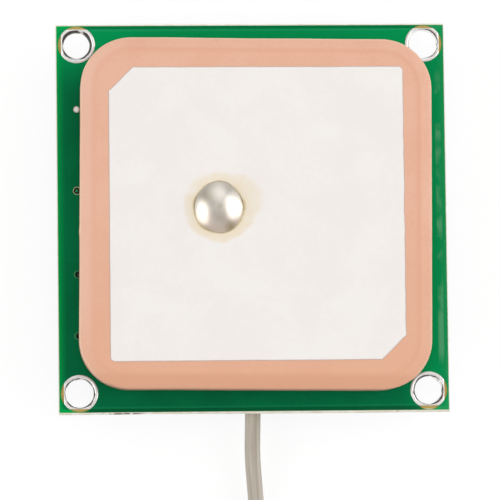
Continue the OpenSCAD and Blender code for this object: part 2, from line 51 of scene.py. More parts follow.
def addObject(name, data):
    item = bpy.data.objects.new(name, data)
    scene.collection.objects.link(item)
    return item


# camera at the photograph's angle: place in mm, turn in radians, near and far in metres
cameraPlan = {
    "place": (-16.446, -20.531, 257.785), "turn": (0.0721, -0.0629, -0.0125),
    "lens": 256.47, "sensor": 36.0, "near": 0.01, "far": 20.0,
}
optics = bpy.data.cameras.new("studioCamera")
optics.lens, optics.sensor_width = cameraPlan["lens"], cameraPlan["sensor"]
optics.clip_start, optics.clip_end = cameraPlan["near"], cameraPlan["far"]
scene.camera = addObject("studioCamera", optics)
scene.camera.location = Vector(cameraPlan["place"]) * mm
scene.camera.rotation_euler = cameraPlan["turn"]
print("camera set")


# node building; each socket knows the tree that it belongs to

def isSocket(value):
    return isinstance(value, bpy.types.NodeSocket)


def wire(node, inputs):
    for socket, value in inputs.items():
        if isSocket(value):
            node.id_data.links.new(value, node.inputs[socket])
        else:
            node.inputs[socket].default_value = value


def addNode(tree, kind, inputs, **settings):
    node = tree.nodes.new(kind)
    for key, value in settings.items():
        setattr(node, key, value)
    wire(node, inputs)
    return node.outputs


def calc(operation, *values):
    tree = next(value.id_data for value in values if isSocket(value))
    return addNode(tree, "ShaderNodeMath", dict(enumerate(values)), operation=operation)[0]


def times(product, *others):
    for value in others:
        product = calc("MULTIPLY", product, value)
    return product


def spread(value, low, high, start=0.0, end=1.0):
    ends = {"Value": value, "From Min": low, "From Max": high, "To Min": start, "To Max": end}
    return addNode(value.id_data, "ShaderNodeMapRange", ends, interpolation_type="SMOOTHSTEP")["Result"]


def opaque(color):
    return color if isSocket(color) else (*color, 1.0)


def layered(color, *layers):
    # lays more colours over the first, each by its factor
    for factor, upper in layers:
        inputs = {0: factor, 6: opaque(color), 7: opaque(upper)}
        color = addNode(factor.id_data, "ShaderNodeMix", inputs, data_type="RGBA")[2]
    return color


def cloudy(vector, scale, detail=2.0, distortion=0.0):
    inputs = {"Vector": vector, "Scale": scale, "Detail": detail, "Distortion": distortion}
    return addNode(vector.id_data, "ShaderNodeTexNoise", inputs)[0]


def axisMillis(vector):
    return [times(axis, 1 / mm) for axis in addNode(vector.id_data, "ShaderNodeSeparateXYZ", {0: vector})]


def flatLength(x, y):
    return calc("SQRT", calc("ADD", calc("POWER", x, 2.0), calc("POWER", y, 2.0)))


def makeGroup(name, kind, inputs, outputs):
    # inputs and outputs list the names of their sockets by kind
    tree = bpy.data.node_groups.new(name, kind)
    for side, sockets in (("INPUT", inputs), ("OUTPUT", outputs)):
        for socketKind, names in sockets.items():
            for socket in names:
                tree.interface.new_socket(socket, in_out=side, socket_type="NodeSocket" + socketKind)
    return tree, tree.nodes.new("NodeGroupInput").outputs, tree.nodes.new("NodeGroupOutput")


# shader effects that several materials share

def buildMottle():
    # two tones that drift into each other, with a finer speckle on top
    tree, given, result = makeGroup(
        "toneMottle", "ShaderNodeTree",
        {"Vector": ["Vector"], "Color": ["Light Color", "Dark Color"], "Float": ["Scale", "Speckle"]},
        {"Color": ["Color"], "Float": ["Value"]})
    broad = cloudy(given["Vector"], given["Scale"], 3.0, 0.4)
    fine = cloudy(given["Vector"], times(given["Scale"], 12.0))
    offset = times(calc("SUBTRACT", fine, 0.5), given["Speckle"])
    value = spread(calc("ADD", broad, offset), 0.32, 0.68)
    wire(result, {"Color": layered(given["Dark Color"], (value, given["Light Color"])), "Value": value})
    return tree


def buildGrain():
    # height of a fine rough surface
    tree, given, result = makeGroup(
        "fineGrain", "ShaderNodeTree", {"Vector": ["Vector"], "Float": ["Scale"]}, {"Float": ["Height"]})
    coarse = cloudy(given["Vector"], given["Scale"], 3.0)
    fine = cloudy(given["Vector"], times(given["Scale"], 3.7))
    wire(result, {"Height": calc("ADD", coarse, times(fine, 0.4))})
    return tree


def buildHandled():
    # smudges and hairline scratches of metal that has been handled
    tree, given, result = makeGroup(
        "handledMetal", "ShaderNodeTree",
        {"Vector": ["Vector"], "Float": ["Scale", "Low Roughness", "High Roughness"]},
        {"Float": ["Roughness", "Height", "Smudge"]})
    low, high = given["Low Roughness"], given["High Roughness"]
    smudge = spread(cloudy(given["Vector"], given["Scale"], 4.0, 0.8), 0.35, 0.68)
    stretched = addNode(tree, "ShaderNodeMapping", {
        "Vector": given["Vector"], "Scale": (0.12, 1.0, 0.6), "Rotation": (0.0, 0.0, 0.5)})[0]
    scratch = spread(cloudy(stretched, times(given["Scale"], 14.0)), 0.62, 0.74)
    rough = calc("ADD", low, times(calc("SUBTRACT", high, low), smudge))
    wire(result, {
        "Roughness": calc("ADD", rough, times(scratch, 0.06)),
        "Height": calc("SUBTRACT", times(smudge, 0.5), scratch), "Smudge": smudge})
    return tree


toneMottle, fineGrain, handledMetal = buildMottle(), buildGrain(), buildHandled()


def useGroup(group, spot, inputs):
    return addNode(spot.id_data, "ShaderNodeGroup", {"Vector": spot, **inputs}, node_tree=group)


def mottled(spot, light, dark, scale, speckle=0.3):
    return useGroup(toneMottle, spot, {
        "Light Color": opaque(light), "Dark Color": opaque(dark), "Scale": scale, "Speckle": speckle})


def grainHeight(spot, scale):
    return useGroup(fineGrain, spot, {"Scale": scale})["Height"]


def handled(spot, scale, low, high):
    return useGroup(handledMetal, spot, {"Scale": scale, "Low Roughness": low, "High Roughness": high})


def newMaterial(name):
    material = bpy.data.materials.new(name)
    material.use_nodes = True
    return material, material.node_tree.nodes.new("ShaderNodeTexCoord").outputs["Object"]


def pointValue(spot, name):
    return addNode(spot.id_data, "ShaderNodeAttribute", {}, attribute_name=name)["Fac"]


def finished(material, color, roughness, height, strength, depth, specular=0.5, metallic=0.0):
    # height, strength and depth in mm are the bump's
    tree = material.node_tree
    bump = {"Height": height, "Strength": strength, "Distance": depth * mm}
    wire(tree.nodes["Principled BSDF"], {
        "Base Color": color, "Roughness": roughness, "Specular IOR Level": specular, "Metallic": metallic,
        "Normal": addNode(tree, "ShaderNodeBump", bump)[0]})
    return material


# two drifting tones with grain, for mouldings, ceramics, tape and insulation
def plainFinish(name, light, dark, scale, roughness, grain, depth):
    material, spot = newMaterial(name)
    color = mottled(spot, light, dark, scale)["Color"]
    return finished(material, color, roughness, grainHeight(spot, grain), 0.35, depth, 0.4)


# metal with smudges and hairline scratches
def metalFinish(name, light, dark, scale, low, high, depth=0.004):
    material, spot = newMaterial(name)
    worn = handled(spot, scale, low, high)
    color = layered(light, (worn["Smudge"], dark))
    return finished(material, color, worn["Roughness"], worn["Height"], 0.25, depth, metallic=1.0)


tinFinish = metalFinish("brightTin", (0.86, 0.86, 0.85), (0.74, 0.73, 0.71), 900.0, 0.16, 0.34)
solderFinish = metalFinish("smoothSolder", (0.86, 0.84, 0.81), (0.79, 0.76, 0.71), 400.0, 0.2, 0.27, 0.002)
goldFinish = metalFinish("goldPlate", (0.92, 0.7, 0.32), (0.84, 0.6, 0.24), 700.0, 0.16, 0.32)
copperFinish = metalFinish("rolledCopper", (0.76, 0.46, 0.31), (0.62, 0.34, 0.2), 600.0, 0.25, 0.45)
brassFinish = metalFinish("drawnBrass", (0.82, 0.64, 0.3), (0.7, 0.52, 0.2), 700.0, 0.2, 0.35)
canFinish = metalFinish("tinnedSheet", (0.74, 0.74, 0.73), (0.6, 0.6, 0.58), 160.0, 0.22, 0.42, 0.006)
tapeFinish = plainFinish("foamTape", (0.9, 0.9, 0.88), (0.82, 0.82, 0.78), 800.0, 0.7, 9000.0, 0.02)
paperFinish = plainFinish("paperTape", (0.86, 0.83, 0.74), (0.78, 0.73, 0.62), 900.0, 0.75, 7000.0, 0.02)
whiteFinish = plainFinish(
    "whiteInsulation", (0.88, 0.88, 0.86), (0.8, 0.8, 0.77), 900.0, 0.35, 9000.0, 0.008)
aluminaFinish = plainFinish(
    "filterCeramic", (0.86, 0.84, 0.8), (0.78, 0.76, 0.7), 1200.0, 0.5, 12000.0, 0.01)
mouldingFinish = plainFinish(
    "blackMoulding", (0.035, 0.035, 0.04), (0.022, 0.022, 0.026), 1500.0, 0.55, 14000.0, 0.01)
print("shared finishes ready")


# mesh building, all sizes in mm

def smoothFaces(mesh, sharp):
    # sharp is the angle in degrees from which an edge stays hard
    for face in mesh.polygons:
        face.use_smooth = True
    if sharp:
        mesh.set_sharp_from_angle(angle=radians(sharp))


def newPiece(name, shape, material, sharp=None, **tags):
    # each tag gives every point of a loft its loop's value
    verts, faces = shape
    mesh = bpy.data.meshes.new(name)
    mesh.from_pydata([Vector(v) * mm for v in verts], [], faces)
    build = bmesh.new()
    build.from_mesh(mesh)
    bmesh.ops.recalc_face_normals(build, faces=build.faces)
    build.to_mesh(mesh)
    build.free()
    mesh.materials.append(material)
    smoothFaces(mesh, sharp)
    for tag, values in tags.items():
        spans = [value for value in values for k in range(len(verts) // len(values))]
        mesh.attributes.new(tag, "FLOAT", "POINT").data.foreach_set("value", spans)
    return addObject(name, mesh)


def softCopy(name, node, material, bevel=None, sharp=30.0):
    # merged copy of a solid, with softened edges where a bevel is given
    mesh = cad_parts[node].data.copy()
    build = bmesh.new()
    build.from_mesh(mesh)
    bmesh.ops.remove_doubles(build, verts=build.verts, dist=0.001 * mm)
    bmesh.ops.dissolve_limit(build, angle_limit=radians(0.5), verts=build.verts, edges=build.edges)
    build.to_mesh(mesh)
    build.free()
    mesh.name = name
    mesh.materials.clear()
    mesh.materials.append(material)
    smoothFaces(mesh, sharp)
    piece = addObject(name, mesh)
    if bevel:
        soften = piece.modifiers.new("soften", "BEVEL")
        soften.width, soften.segments = bevel * mm, 2
        soften.limit_method, soften.angle_limit = "ANGLE", radians(sharp)
    return piece


def applyModifier(piece, modifier, sharp):
    piece.data = bpy.data.meshes.new_from_object(
        piece.evaluated_get(bpy.context.evaluated_depsgraph_get()))
    piece.modifiers.remove(modifier)
    piece.data.name = piece.name
    smoothFaces(piece.data, sharp)


def loft(loops, ring=False):
    # skin over loops of equal count; a ring joins the last loop to the first
    count = len(loops[0])
    verts = [point for loop in loops for point in loop]
    faces = []
    for i in range(len(loops) if ring else len(loops) - 1):
        a, b = i * count, (i + 1) % len(loops) * count
        for k in range(count):
            n = (k + 1) % count
            faces.append((a + k, a + n, b + n, b + k))
    if not ring:
        faces.append(tuple(range(count)))
        faces.append(tuple(range(len(verts) - count, len(verts))))
    return verts, faces


def joinLofts(*parts):
    verts, faces = [], []
    for partVerts, partFaces in parts:
        start = len(verts)
        verts += partVerts
        faces += [tuple(i + start for i in face) for face in partFaces]
    return verts, faces


def shares(steps):
    return [k / steps for k in range(steps + 1)]


def fullTurn(count):
    return [2 * pi * k / count for k in range(count)]


def turnLoop(x, y, angles, reach):
    # loop around an upright axis; reach gives the radius and height at an angle
    loop = []
    for a in angles:
        radius, z = reach(a)
        loop.append((x + radius * cos(a), y + radius * sin(a), z))
    return loop


def circleLoop(x, y, z, radius, count):
    return turnLoop(x, y, fullTurn(count), lambda a: (radius, z))


def boreLoop(loop, z):
    # circle around the feed whose points face those of a wider loop
    angles = [atan2(p[1] - feed["y"], p[0] - feed["x"]) for p in loop]
    return turnLoop(feed["x"], feed["y"], angles, lambda a: (feed["bore"], z))


def wave(x, y, z, size):
    # smooth noise from -1 to 1, with bumps about size mm across
    return noise.noise(Vector((x, y, z)) / size)


def ease(t):
    t = min(max(t, 0.0), 1.0)
    return t * t * (3 - 2 * t)


def fit(piece, slot, *nodes):
    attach(piece, "root")
    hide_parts(*nodes)
    return piece


# geometry trees

def makeTree(name, inputs):
    whole = {"Geometry": ["Geometry"]}
    return makeGroup(name, "GeometryNodeTree", {**whole, **inputs}, whole)


def geo(tree, kind, inputs, **settings):
    return addNode(tree, "GeometryNode" + kind, inputs, **settings)[0]


def endTree(result, geometry, material):
    whole = geo(result.id_data, "RealizeInstances", {0: geometry})
    wire(result, {0: geo(result.id_data, "SetMaterial", {"Geometry": whole, "Material": material})})
    return result.id_data


def growFrom(name, points, edges, tree, values, facing=None, sharp=None):
    # runs a geometry tree on a few points or a line, and keeps its result as a plain mesh
    mesh = bpy.data.meshes.new(name)
    mesh.from_pydata(points, edges, [])
    if facing:
        mesh.attributes.new("facing", "FLOAT", "POINT").data.foreach_set("value", facing)
    piece = addObject(name, mesh)
    grow = piece.modifiers.new("grow", "NODES")
    grow.node_group = tree
    for item in tree.interface.items_tree:
        if item.in_out == "INPUT" and item.name in values:
            grow[item.identifier] = values[item.name]
    applyModifier(piece, grow, sharp)
    return piece


# thin coax: out of the board, a small coil with a tape tie, and its plug
cable = {
    "diameter": 1.13, "exit": (-0.05, -14.0, 1.95), "length": 101.5, "sides": 20, "parts": 2,
    "lead": [
        (-0.05, -11.4, 1.95), (-0.05, -12.8, 1.95), (-0.05, -14.2, 1.95), (-0.08, -15.4, 1.92),
        (-0.1, -16.6, 1.8), (-0.05, -17.8, 1.6), (0.05, -19.0, 1.35), (0.15, -20.2, 1.1),
        (0.25, -21.4, 0.9), (0.32, -22.6, 0.78), (0.37, -23.8, 0.71), (0.4, -25.0, 0.7), (0.4, -26.4, 0.7),
    ],
    "tail": [
        (-0.2, -28.6, 1.7), (-0.2, -29.6, 1.8), (-0.15, -30.8, 1.88), (-0.05, -32.2, 1.74),
        (0.05, -33.5, 1.4), (0.1, -34.8, 1.08), (0.1, -36.0, 0.9), (0.1, -37.0, 0.9),
    ],
    "coilX": -6.2, "coilY": -28.0, "outer": 6.6, "inner": 5.4, "middle": 6.0,
    "low": 0.7, "high": 1.7, "hump": 0.16, "halfTurns": 4.0, "coilSteps": 64,
    # half turns at which each change starts, and how many it takes
    "inward": (1.5, 0.5), "outward": (3.6, 0.4), "climb": (3.2, 0.35), "rise": (3.5, 0.28), "settle": 0.22,
}


def coilPoint(half):
    # half counts half turns
    def done(change):
        start, span = cable[change]
        return ease((half - start) / span)

    radius = cable["outer"] + (cable["inner"] - cable["outer"]) * done("inward")
    radius += (cable["middle"] - cable["inner"]) * done("outward")
    z = cable["low"] + (cable["high"] - cable["low"]) * done("climb")
    z += cable["hump"] * done("rise") * ease((cable["halfTurns"] - half) / cable["settle"])
    return (cable["coilX"] + radius * cos(half * pi), cable["coilY"] - radius * sin(half * pi), z)


def smoothRoute(points, parts):
    # even curve through all points
    points = [Vector(p) for p in points]
    last = len(points) - 1
    route = []
    for i in range(last):
        a, b, c, d = points[max(i - 1, 0)], points[i], points[i + 1], points[min(i + 2, last)]
        for t in shares(parts)[:-1]:
            bend = 2 * a - 5 * b + 4 * c - d + t * (3 * (b - c) + d - a)
            route.append(b + 0.5 * t * (c - a + t * bend))
    return route + [points[last]]


def makeJacket():
    material, spot = newMaterial("cableJacket")
    along = pointValue(spot, "along")
    angle = times(pointValue(spot, "around"), 2 * pi)
    drawn = addNode(spot.id_data, "ShaderNodeCombineXYZ", {
        0: calc("COSINE", angle), 1: calc("SINE", angle), 2: times(along, 60.0)})[0]
    streak = spread(cloudy(drawn, 2.2), 0.36, 0.64)
    tone = mottled(spot, (0.54, 0.49, 0.42), (0.505, 0.455, 0.388), 260.0)["Color"]
    color = layered((0.4, 0.345, 0.275), (streak, tone))
    ribs = calc("SINE", times(along, 2 * pi / (0.42 * mm)))  # the braid shows through, 0.42 mm apart
    height = calc("ADD", grainHeight(spot, 5000.0), times(ribs, 0.12))
    return finished(material, color, 0.45, height, 0.3, 0.012, 0.45)


def storeFloat(geometry, name, value):
    inputs = {"Geometry": geometry, "Name": name, "Value": value}
    return geo(geometry.id_data, "StoreNamedAttribute", inputs, data_type="FLOAT", domain="POINT")


def buildCableTree():
    tree, given, result = makeTree("cableTube", {
        "Float": ["Radius"], "Int": ["Sides"], "Material": ["Material"]})
    capture = tree.nodes.new("GeometryNodeCaptureAttribute")
    capture.capture_items.new("FLOAT", "along")
    length = addNode(tree, "GeometryNodeSplineParameter", {})["Length"]
    wire(capture, {"Geometry": geo(tree, "MeshToCurve", {0: given["Geometry"]}), "along": length})
    circle = geo(tree, "CurvePrimitiveCircle", {"Resolution": given["Sides"], "Radius": given["Radius"]})
    share = addNode(tree, "GeometryNodeSplineParameter", {})["Factor"]
    tube = geo(tree, "CurveToMesh", {
        "Curve": capture.outputs["Geometry"], "Profile Curve": storeFloat(circle, "around", share),
        "Fill Caps": True})
    return endTree(result, storeFloat(tube, "along", capture.outputs["along"]), given["Material"])


stops = [coilPoint(cable["halfTurns"] * t) for t in shares(cable["coilSteps"])]
route = [p * mm for p in smoothRoute(cable["lead"] + stops + cable["tail"], cable["parts"])]
coaxCable = growFrom("coaxCable", route, [(i, i + 1) for i in range(len(route) - 1)], buildCableTree(), {
    "Radius": cable["diameter"] / 2 * mm, "Sides": cable["sides"], "Material": makeJacket()})
fit(coaxCable, "cable_jacket", "cable_lead", "cable_coil", "cable_tail")

# strip of paper tape around the two turns at the coil's far side
tie = {"width": 2.4, "thickness": 0.1, "gap": 0.02, "ragged": 0.012, "steps": 14, "arcSteps": 10}


def tieLoop(grow, turn):
    r = cable["diameter"] / 2 + grow
    loop = []
    for middle, start in ((cable["outer"], -pi / 2), (cable["inner"], pi / 2)):
        for t in shares(tie["arcSteps"]):
            radius, z = middle + r * cos(start + pi * t), cable["low"] + r * sin(start + pi * t)
            a = pi + turn + tie["ragged"] * wave(radius * 3, z * 3, turn * 4, 1.0)
            loop.append((cable["coilX"] + radius * cos(a), cable["coilY"] + radius * sin(a), z))
    return loop


tieTurns = [tie["width"] / cable["middle"] * (t - 0.5) for t in shares(tie["steps"])]
tieLoops = [tieLoop(tie["gap"] + tie["thickness"], t) for t in tieTurns]
tieLoops += [tieLoop(tie["gap"], t) for t in reversed(tieTurns)]
coilTie = fit(newPiece("coilTie", loft(tieLoops, ring=True), paperFinish), "tie_tape", "cable_tie")

# push-on plug: round shell with a lip, flat neck and crimped sleeve
plug = {
    "x": 0.1, "y": -40.1, "height": 1.3, "roof": 1.0, "count": 48,
    "neckHalf": 0.55, "neckEdge": 0.05, "neckGap": 0.02, "neckReach": (0.6, 1.15, 1.35, 1.6, 2.2),
    "sleeveEnd": -37.0, "sleeveLength": 1.8, "sleeveRadius": 0.75, "sleeveZ": 0.9, "sleeveSteps": 18,
    # shares of the sleeve's length and radius
    "crimpFrom": 0.14, "crimpEase": 0.1, "crimpFlat": 0.88, "collarDrop": 0.08, "collarEase": 0.05,
}
shellSection = [  # radius and height around the plug's middle, from the roof's pole outwards and back in
    (0.001, 1.3), (0.95, 1.3), (1.1, 1.295), (1.2, 1.26), (1.26, 1.2), (1.28, 1.12), (1.28, 0.72),
    (1.25, 0.68), (1.22, 0.62), (1.22, 0.5), (1.25, 0.44), (1.295, 0.4), (1.295, 0.06), (1.27, 0.01),
    (1.2, 0.0), (1.12, 0.01), (1.07, 0.05), (1.05, 0.12), (1.05, 0.95), (1.03, 1.0), (0.001, 1.0),
]


def sleeveLoop(t):
    # hexagon-like crimp between two round collars; t runs along the sleeve
    inside = min(t, 1 - t)
    pressed = ease((inside - plug["crimpFrom"]) / plug["crimpEase"])
    collar = 1.0 - plug["collarDrop"] * (1 - ease(inside / plug["collarEase"]))
    y = plug["sleeveEnd"] - plug["sleeveLength"] * t
    loop = []
    for a in fullTurn(plug["count"]):
        flat = plug["crimpFlat"] / cos((a % (pi / 3)) - pi / 6)
        radius = plug["sleeveRadius"] * collar * (1 - pressed * (1 - flat))
        loop.append((plug["x"] + radius * cos(a), y, plug["sleeveZ"] + radius * sin(a)))
    return loop


def neckLoops():
    # flat strip from the shell's roof into the sleeve, with bevelled edges
    half, edge = plug["neckHalf"], plug["neckEdge"]
    low, high = plug["roof"] + plug["neckGap"], plug["height"] - plug["neckGap"]
    section = [
        (-half, low + edge), (-half + edge, low), (half - edge, low), (half, low + edge),
        (half, high - edge), (half - edge, high), (-half + edge, high), (-half, high - edge),
    ]
    return [[(plug["x"] + x, plug["y"] + reach, z) for x, z in section] for reach in plug["neckReach"]]


shellLoops = [circleLoop(plug["x"], plug["y"], z, radius, plug["count"]) for radius, z in shellSection]
sleeveLoops = [sleeveLoop(t) for t in shares(plug["sleeveSteps"])]
plugShape = joinLofts(loft(shellLoops), loft(sleeveLoops), loft(neckLoops()))
plugShell = fit(newPiece("plugShell", plugShape, goldFinish, sharp=50), "gold", "plug_shell")
print("cable laid:", round(sum((a - b).length for a, b in zip(route, route[1:])) / mm, 1), "mm")


# laminate with sawn sides and snapped front and back edges
board = {
    "half": 14.0, "frontSteps": 150, "sideSteps": 50, "tear": 0.035, "burr": 0.03, "saw": 0.012,
    "lean": 0.06, "leanFrom": -10.0, "leanSpan": 18.0, "cornerInset": 0.006, "pourHalf": 13.62,
    "maskFront": -13.7,
    "holePlace": 12.5, "drillRadius": 1.08, "drillSides": 48, "drillEnds": (2.0, 4.4),
}
boardSection = [  # inset of the snapped edges, height and share of the tear
    (0.14, 0.0, 0.2), (0.05, 0.2, 0.4), (0.012, 0.29, 1.0), (0.004, 0.36, 1.0), (0.0, 0.5, 1.0),
    (0.0, 0.7, 1.0), (0.004, 0.8, 1.0), (0.015, 0.88, 1.0), (0.04, 0.94, 0.8), (0.09, 0.98, 0.4),
    (0.14, 1.0, 0.2),
]
vias = {
    "x": -12.55, "rows": (7.85, 2.0, -4.0, -8.4), "radius": 0.25, "rim": 0.3, "sides": 40,
    "lean": (0.06, -0.03, 0.14, 0.21),  # how far each dimple's middle lies off the rim's
}


def makeLaminate():
    material, spot = newMaterial("snappedLaminate")
    x, y, z = axisMillis(spot)
    tone = mottled(spot, (0.93, 0.9, 0.8), (0.82, 0.77, 0.62), 1400.0)
    inner = calc("MAXIMUM", calc("ABSOLUTE", x), calc("ABSOLUTE", y))
    face = times(spread(z, laminateTop - 0.02, laminateTop - 0.004), spread(inner, 13.88, 13.8))
    specks = cloudy(spot, 2600.0, 3.0)
    scorch = times(spread(x, -10.6, -10.1), spread(x, -7.6, -8.6), spread(y, -13.88, -13.96))
    burnt = times(spread(specks, 0.36, 0.48), scorch, 0.9)
    dark = calc("ADD", times(spread(specks, 0.66, 0.74), 0.35), burnt)
    color = layered(tone["Color"], (face, (0.5, 0.36, 0.1)), (dark, (0.12, 0.08, 0.045)))
    fibre = calc("SINE", times(z, 2 * pi / 0.17))  # layers of cloth, 0.17 mm apart
    height = calc("ADD", grainHeight(spot, 5000.0), times(fibre, 0.25))
    return finished(material, color, spread(tone["Value"], 0.0, 1.0, 0.75, 0.6), height, 0.5, 0.03, 0.3)


def frontLean(x):
    # the snapped front edge runs a little out towards the right
    return board["lean"] * ease((x - board["leanFrom"]) / board["leanSpan"])


def tornInset(x, z, side):
    rough = 0.6 + 0.5 * wave(x, side * 7.0, z * 2.0, 1.7) + 0.5 * wave(x, side * 5.0, z * 3.0, 0.45)
    return board["tear"] * max(rough, 0.0)


def boardLoop(inset, height, share):
    half, z = board["half"], laminateLow + height
    limit = half - board["cornerInset"]

    def frontY(x):
        return -half + inset + share * (tornInset(x, height, 1) - board["burr"]) - frontLean(x)

    def backY(x):
        return half - inset - share * tornInset(x, height, -1)

    def sawn(side, start, stop):
        rows = [start + (stop - start) * t for t in shares(board["sideSteps"])[:-1]]
        rough = [0.5 + 0.5 * wave(side * 3.0, y, height, 0.8) for y in rows]
        return [(side * (half - board["saw"] * r), y, z) for y, r in zip(rows, rough)]

    along = [2 * half * t - half for t in shares(board["frontSteps"])]
    loop = [(max(x, -limit), frontY(x), z) for x in along[:-1]]
    loop += sawn(1, frontY(half), backY(half))
    loop += [(min(x, limit), backY(x), z) for x in along[:0:-1]]
    return loop + sawn(-1, backY(-half), frontY(-half))


h = board["holePlace"]
drills = [(x, y, board["drillRadius"]) for x in (-h, h) for y in (-h, h)]
drills += [(vias["x"], y, vias["radius"]) for y in vias["rows"]] + [(feed["x"], feed["y"], feed["bore"])]
drillLofts = [loft([circleLoop(x, y, z, r, board["drillSides"]) for z in board["drillEnds"]])
              for x, y, r in drills]
boardCore = newPiece("boardCore", loft([boardLoop(*row) for row in boardSection]), makeLaminate())
drillTool = newPiece("drillTool", joinLofts(*drillLofts), tinFinish)
drilled = boardCore.modifiers.new("drilled", "BOOLEAN")
drilled.object, drilled.operation = drillTool, "DIFFERENCE"
applyModifier(boardCore, drilled, 40)
bpy.data.objects.remove(drillTool)
fit(boardCore, "laminate", "board_core")


# green film, darker past the copper's front and back ends, with painted light: brighter at the back, the
# right and along the sides, a highlight on the pour's edge and a reflected streak on the right
def makeMask():
    material, spot = newMaterial("solderMask")
    x, y = axisMillis(spot)[:2]
    reach, depth = calc("ABSOLUTE", x), calc("ABSOLUTE", y)
    edge = calc("SUBTRACT", depth, board["pourHalf"])
    back = spread(y, -1.0, 1.0)
    tone = mottled(spot, (0.0, 0.175, 0.06), (0.0, 0.145, 0.05), 180.0, 0.15)
    # painted light: the back and the right of the film are made lighter
    lift = calc("MAXIMUM", spread(y, 8.5, 12.6), spread(x, 10.5, 12.9, 0.0, 0.85))
    margin = spread(edge, -0.04, 0.04)
    # painted highlight along the copper pour's raised edge, fainter at the front
    ridgeHighlight = times(spread(edge, -0.2, -0.1), spread(edge, 0.02, -0.04))
    # painted light glowing through the bare laminate along the sides and into the margins towards the
    # corners, greener on the left
    glow = calc("MAXIMUM", spread(reach, 13.3, 14.15), times(spread(reach, 11.4, 13.2), margin))
    glowColor = layered((0.0, 0.37, 0.075), (spread(x, -1.0, 1.0), (0.015, 0.32, 0.1)))
    # painted reflection: a broken pale streak along the right side
    band = times(spread(x, 13.2, 13.35), spread(x, 13.75, 13.55))
    reflectedStreak = times(spread(cloudy(spot, 420.0, 4.0), 0.4, 0.56), spread(depth, 10.8, 9.5))
    color = layered(
        tone["Color"], (lift, (0.0, 0.3, 0.088)),
        # the margin is darkened more at the front, as painted shade
        (times(margin, spread(back, 0.0, 1.0, 0.7, 0.5)), (0.0, 0.095, 0.03)),
        (times(ridgeHighlight, spread(back, 0.0, 1.0, 0.22, 0.6)), (0.015, 0.32, 0.125)),
        (glow, glowColor), (times(band, reflectedStreak, 0.5), (0.16, 0.46, 0.25)))
    rough = spread(tone["Value"], 0.0, 1.0, 0.2, 0.3)
    return finished(material, color, rough, grainHeight(spot, 1500.0), 0.2, 0.006, 0.05)


maskFinish = makeMask()
topMask = softCopy("topMask", "top_mask", maskFinish, bevel=0.012)
for vertex in topMask.data.vertices:
    if vertex.co.y < board["maskFront"] * mm:  # the front edge follows the laminate's
        vertex.co.y -= frontLean(vertex.co.x / mm) * mm
fit(topMask, "solder_mask", "top_mask")
fit(softCopy("bottomMask", "bottom_mask", maskFinish), "solder_mask", "bottom_mask")

# tinned barrel and rings of each corner hole, flat where the copper pour ends
plating = {
    "corners": [(-h, h), (h, h), (h, -h), (-h, -h)],
    "ring": 1.335, "flat": 1.12, "barrel": 1.05, "drill": 1.08, "count": 96,
    "swell": 0.09, "lip": 0.004, "mouth": 0.05, "barrelSteps": 6,
    # how much painted shade each hole takes at its rim and in its barrel
    "throat": (0.945, 1.02, 0.99, 1.01), "rimShade": (0.88, 0.68, 0.98, 0.98),
    "barrelShade": (0.7, 0.25, 0.52, 0.52),
}
# each loop's way in from the rim, share of the swell and roughness
upperBead = [
    (0.05, 0.55, 0.003), (0.2, 0.9, 0.006), (0.45, 1.0, 0.008), (0.7, 0.85, 0.008), (0.88, 0.3, 0.008),
]
lowerBead = [(0.88, 0.3, 0.006), (0.45, 1.0, 0.006), (0.1, 0.7, 0.003)]
# how much painted shade each loop takes, from the upper rim down and back up the outside, and which are the
# barrel's
rimShadeRows = [0.0, 0.0, 0.0, 0.0, 0.2, 0.75, 1.0]
barrelShadeRows = [1.0] * 5 + [0.9, 0.5, 0.0, 0.0, 0.0, 0.0, 1.0, 1.0, 0.0]
barrelPart = [0.0] * 6 + [1.0] * 7 + [0.0] * 8


def platingLoop(place, inward, z, bore, rough):
    # inward runs from 0 at the ring's rim to 1 at the bore
    x, y = place

    def reach(a):
        c, s = cos(a), sin(a)
        facing = (c * copysign(1, x), s * copysign(1, y))
        outer = min([plating["ring"]] + [plating["flat"] / part for part in facing if part > 0])
        r = outer + (bore - outer) * inward + rough * wave(x + c, y + s, z, 0.35)
        return r, z + rough * wave(x + 2 * c, y + 2 * s, z + 5, 0.6)

    return turnLoop(x, y, fullTurn(plating["count"]), reach)


def platingLoops(place, throat):
    lip, swell, barrel, drill = (plating[key] for key in ("lip", "swell", "barrel", "drill"))
    upper, lower = pourTop - plating["mouth"], padLow + plating["mouth"]
    rows = [(0.0, pourTop + lip, barrel, 0.0)]
    rows += [(inward, pourTop + swell * share, barrel, rough) for inward, share, rough in upperBead]
    rows.append((1.0, upper, barrel, 0.008))
    rows += [(1.0, upper - (upper - lower) * t, throat, 0.014) for t in shares(plating["barrelSteps"])[1:-1]]
    rows.append((1.0, lower, barrel, 0.008))
    rows += [(inward, padLow - swell * share, barrel, rough) for inward, share, rough in lowerBead]
    rows += [(0.0, padLow - lip, barrel, 0.0), (0.0, padLow, barrel, 0.0)]
    rows += [(1.0, padLow, drill, 0.0), (1.0, pourTop, drill, 0.0), (0.0, pourTop, barrel, 0.0)]
    return [platingLoop(place, *row) for row in rows]


def makeTinned():
    # bright tin that turns dark and dull inside the barrel and at its mouth, as painted shade
    material, spot = newMaterial("tinnedHole")
    worn = handled(spot, 900.0, 0.24, 0.4)
    patchy = times(calc("SUBTRACT", cloudy(spot, 1300.0, 4.0), 0.5), 2.6)
    grime = spread(calc("ADD", pointValue(spot, "grime"), patchy), 0.5, 0.8)
    tin = layered((0.97, 0.96, 0.95), (worn["Smudge"], (0.88, 0.87, 0.85)), (grime, (0.07, 0.062, 0.054)))
    rough = calc("MAXIMUM", worn["Roughness"], times(grime, 0.55))
    bare = spread(pointValue(spot, "barrel"), 0.0, 1.0, 0.42, 0.95)
    shine = times(bare, spread(grime, 0.0, 1.0, 1.0, 0.2))
    return finished(material, tin, rough, worn["Height"], 0.25, 0.004, metallic=shine)


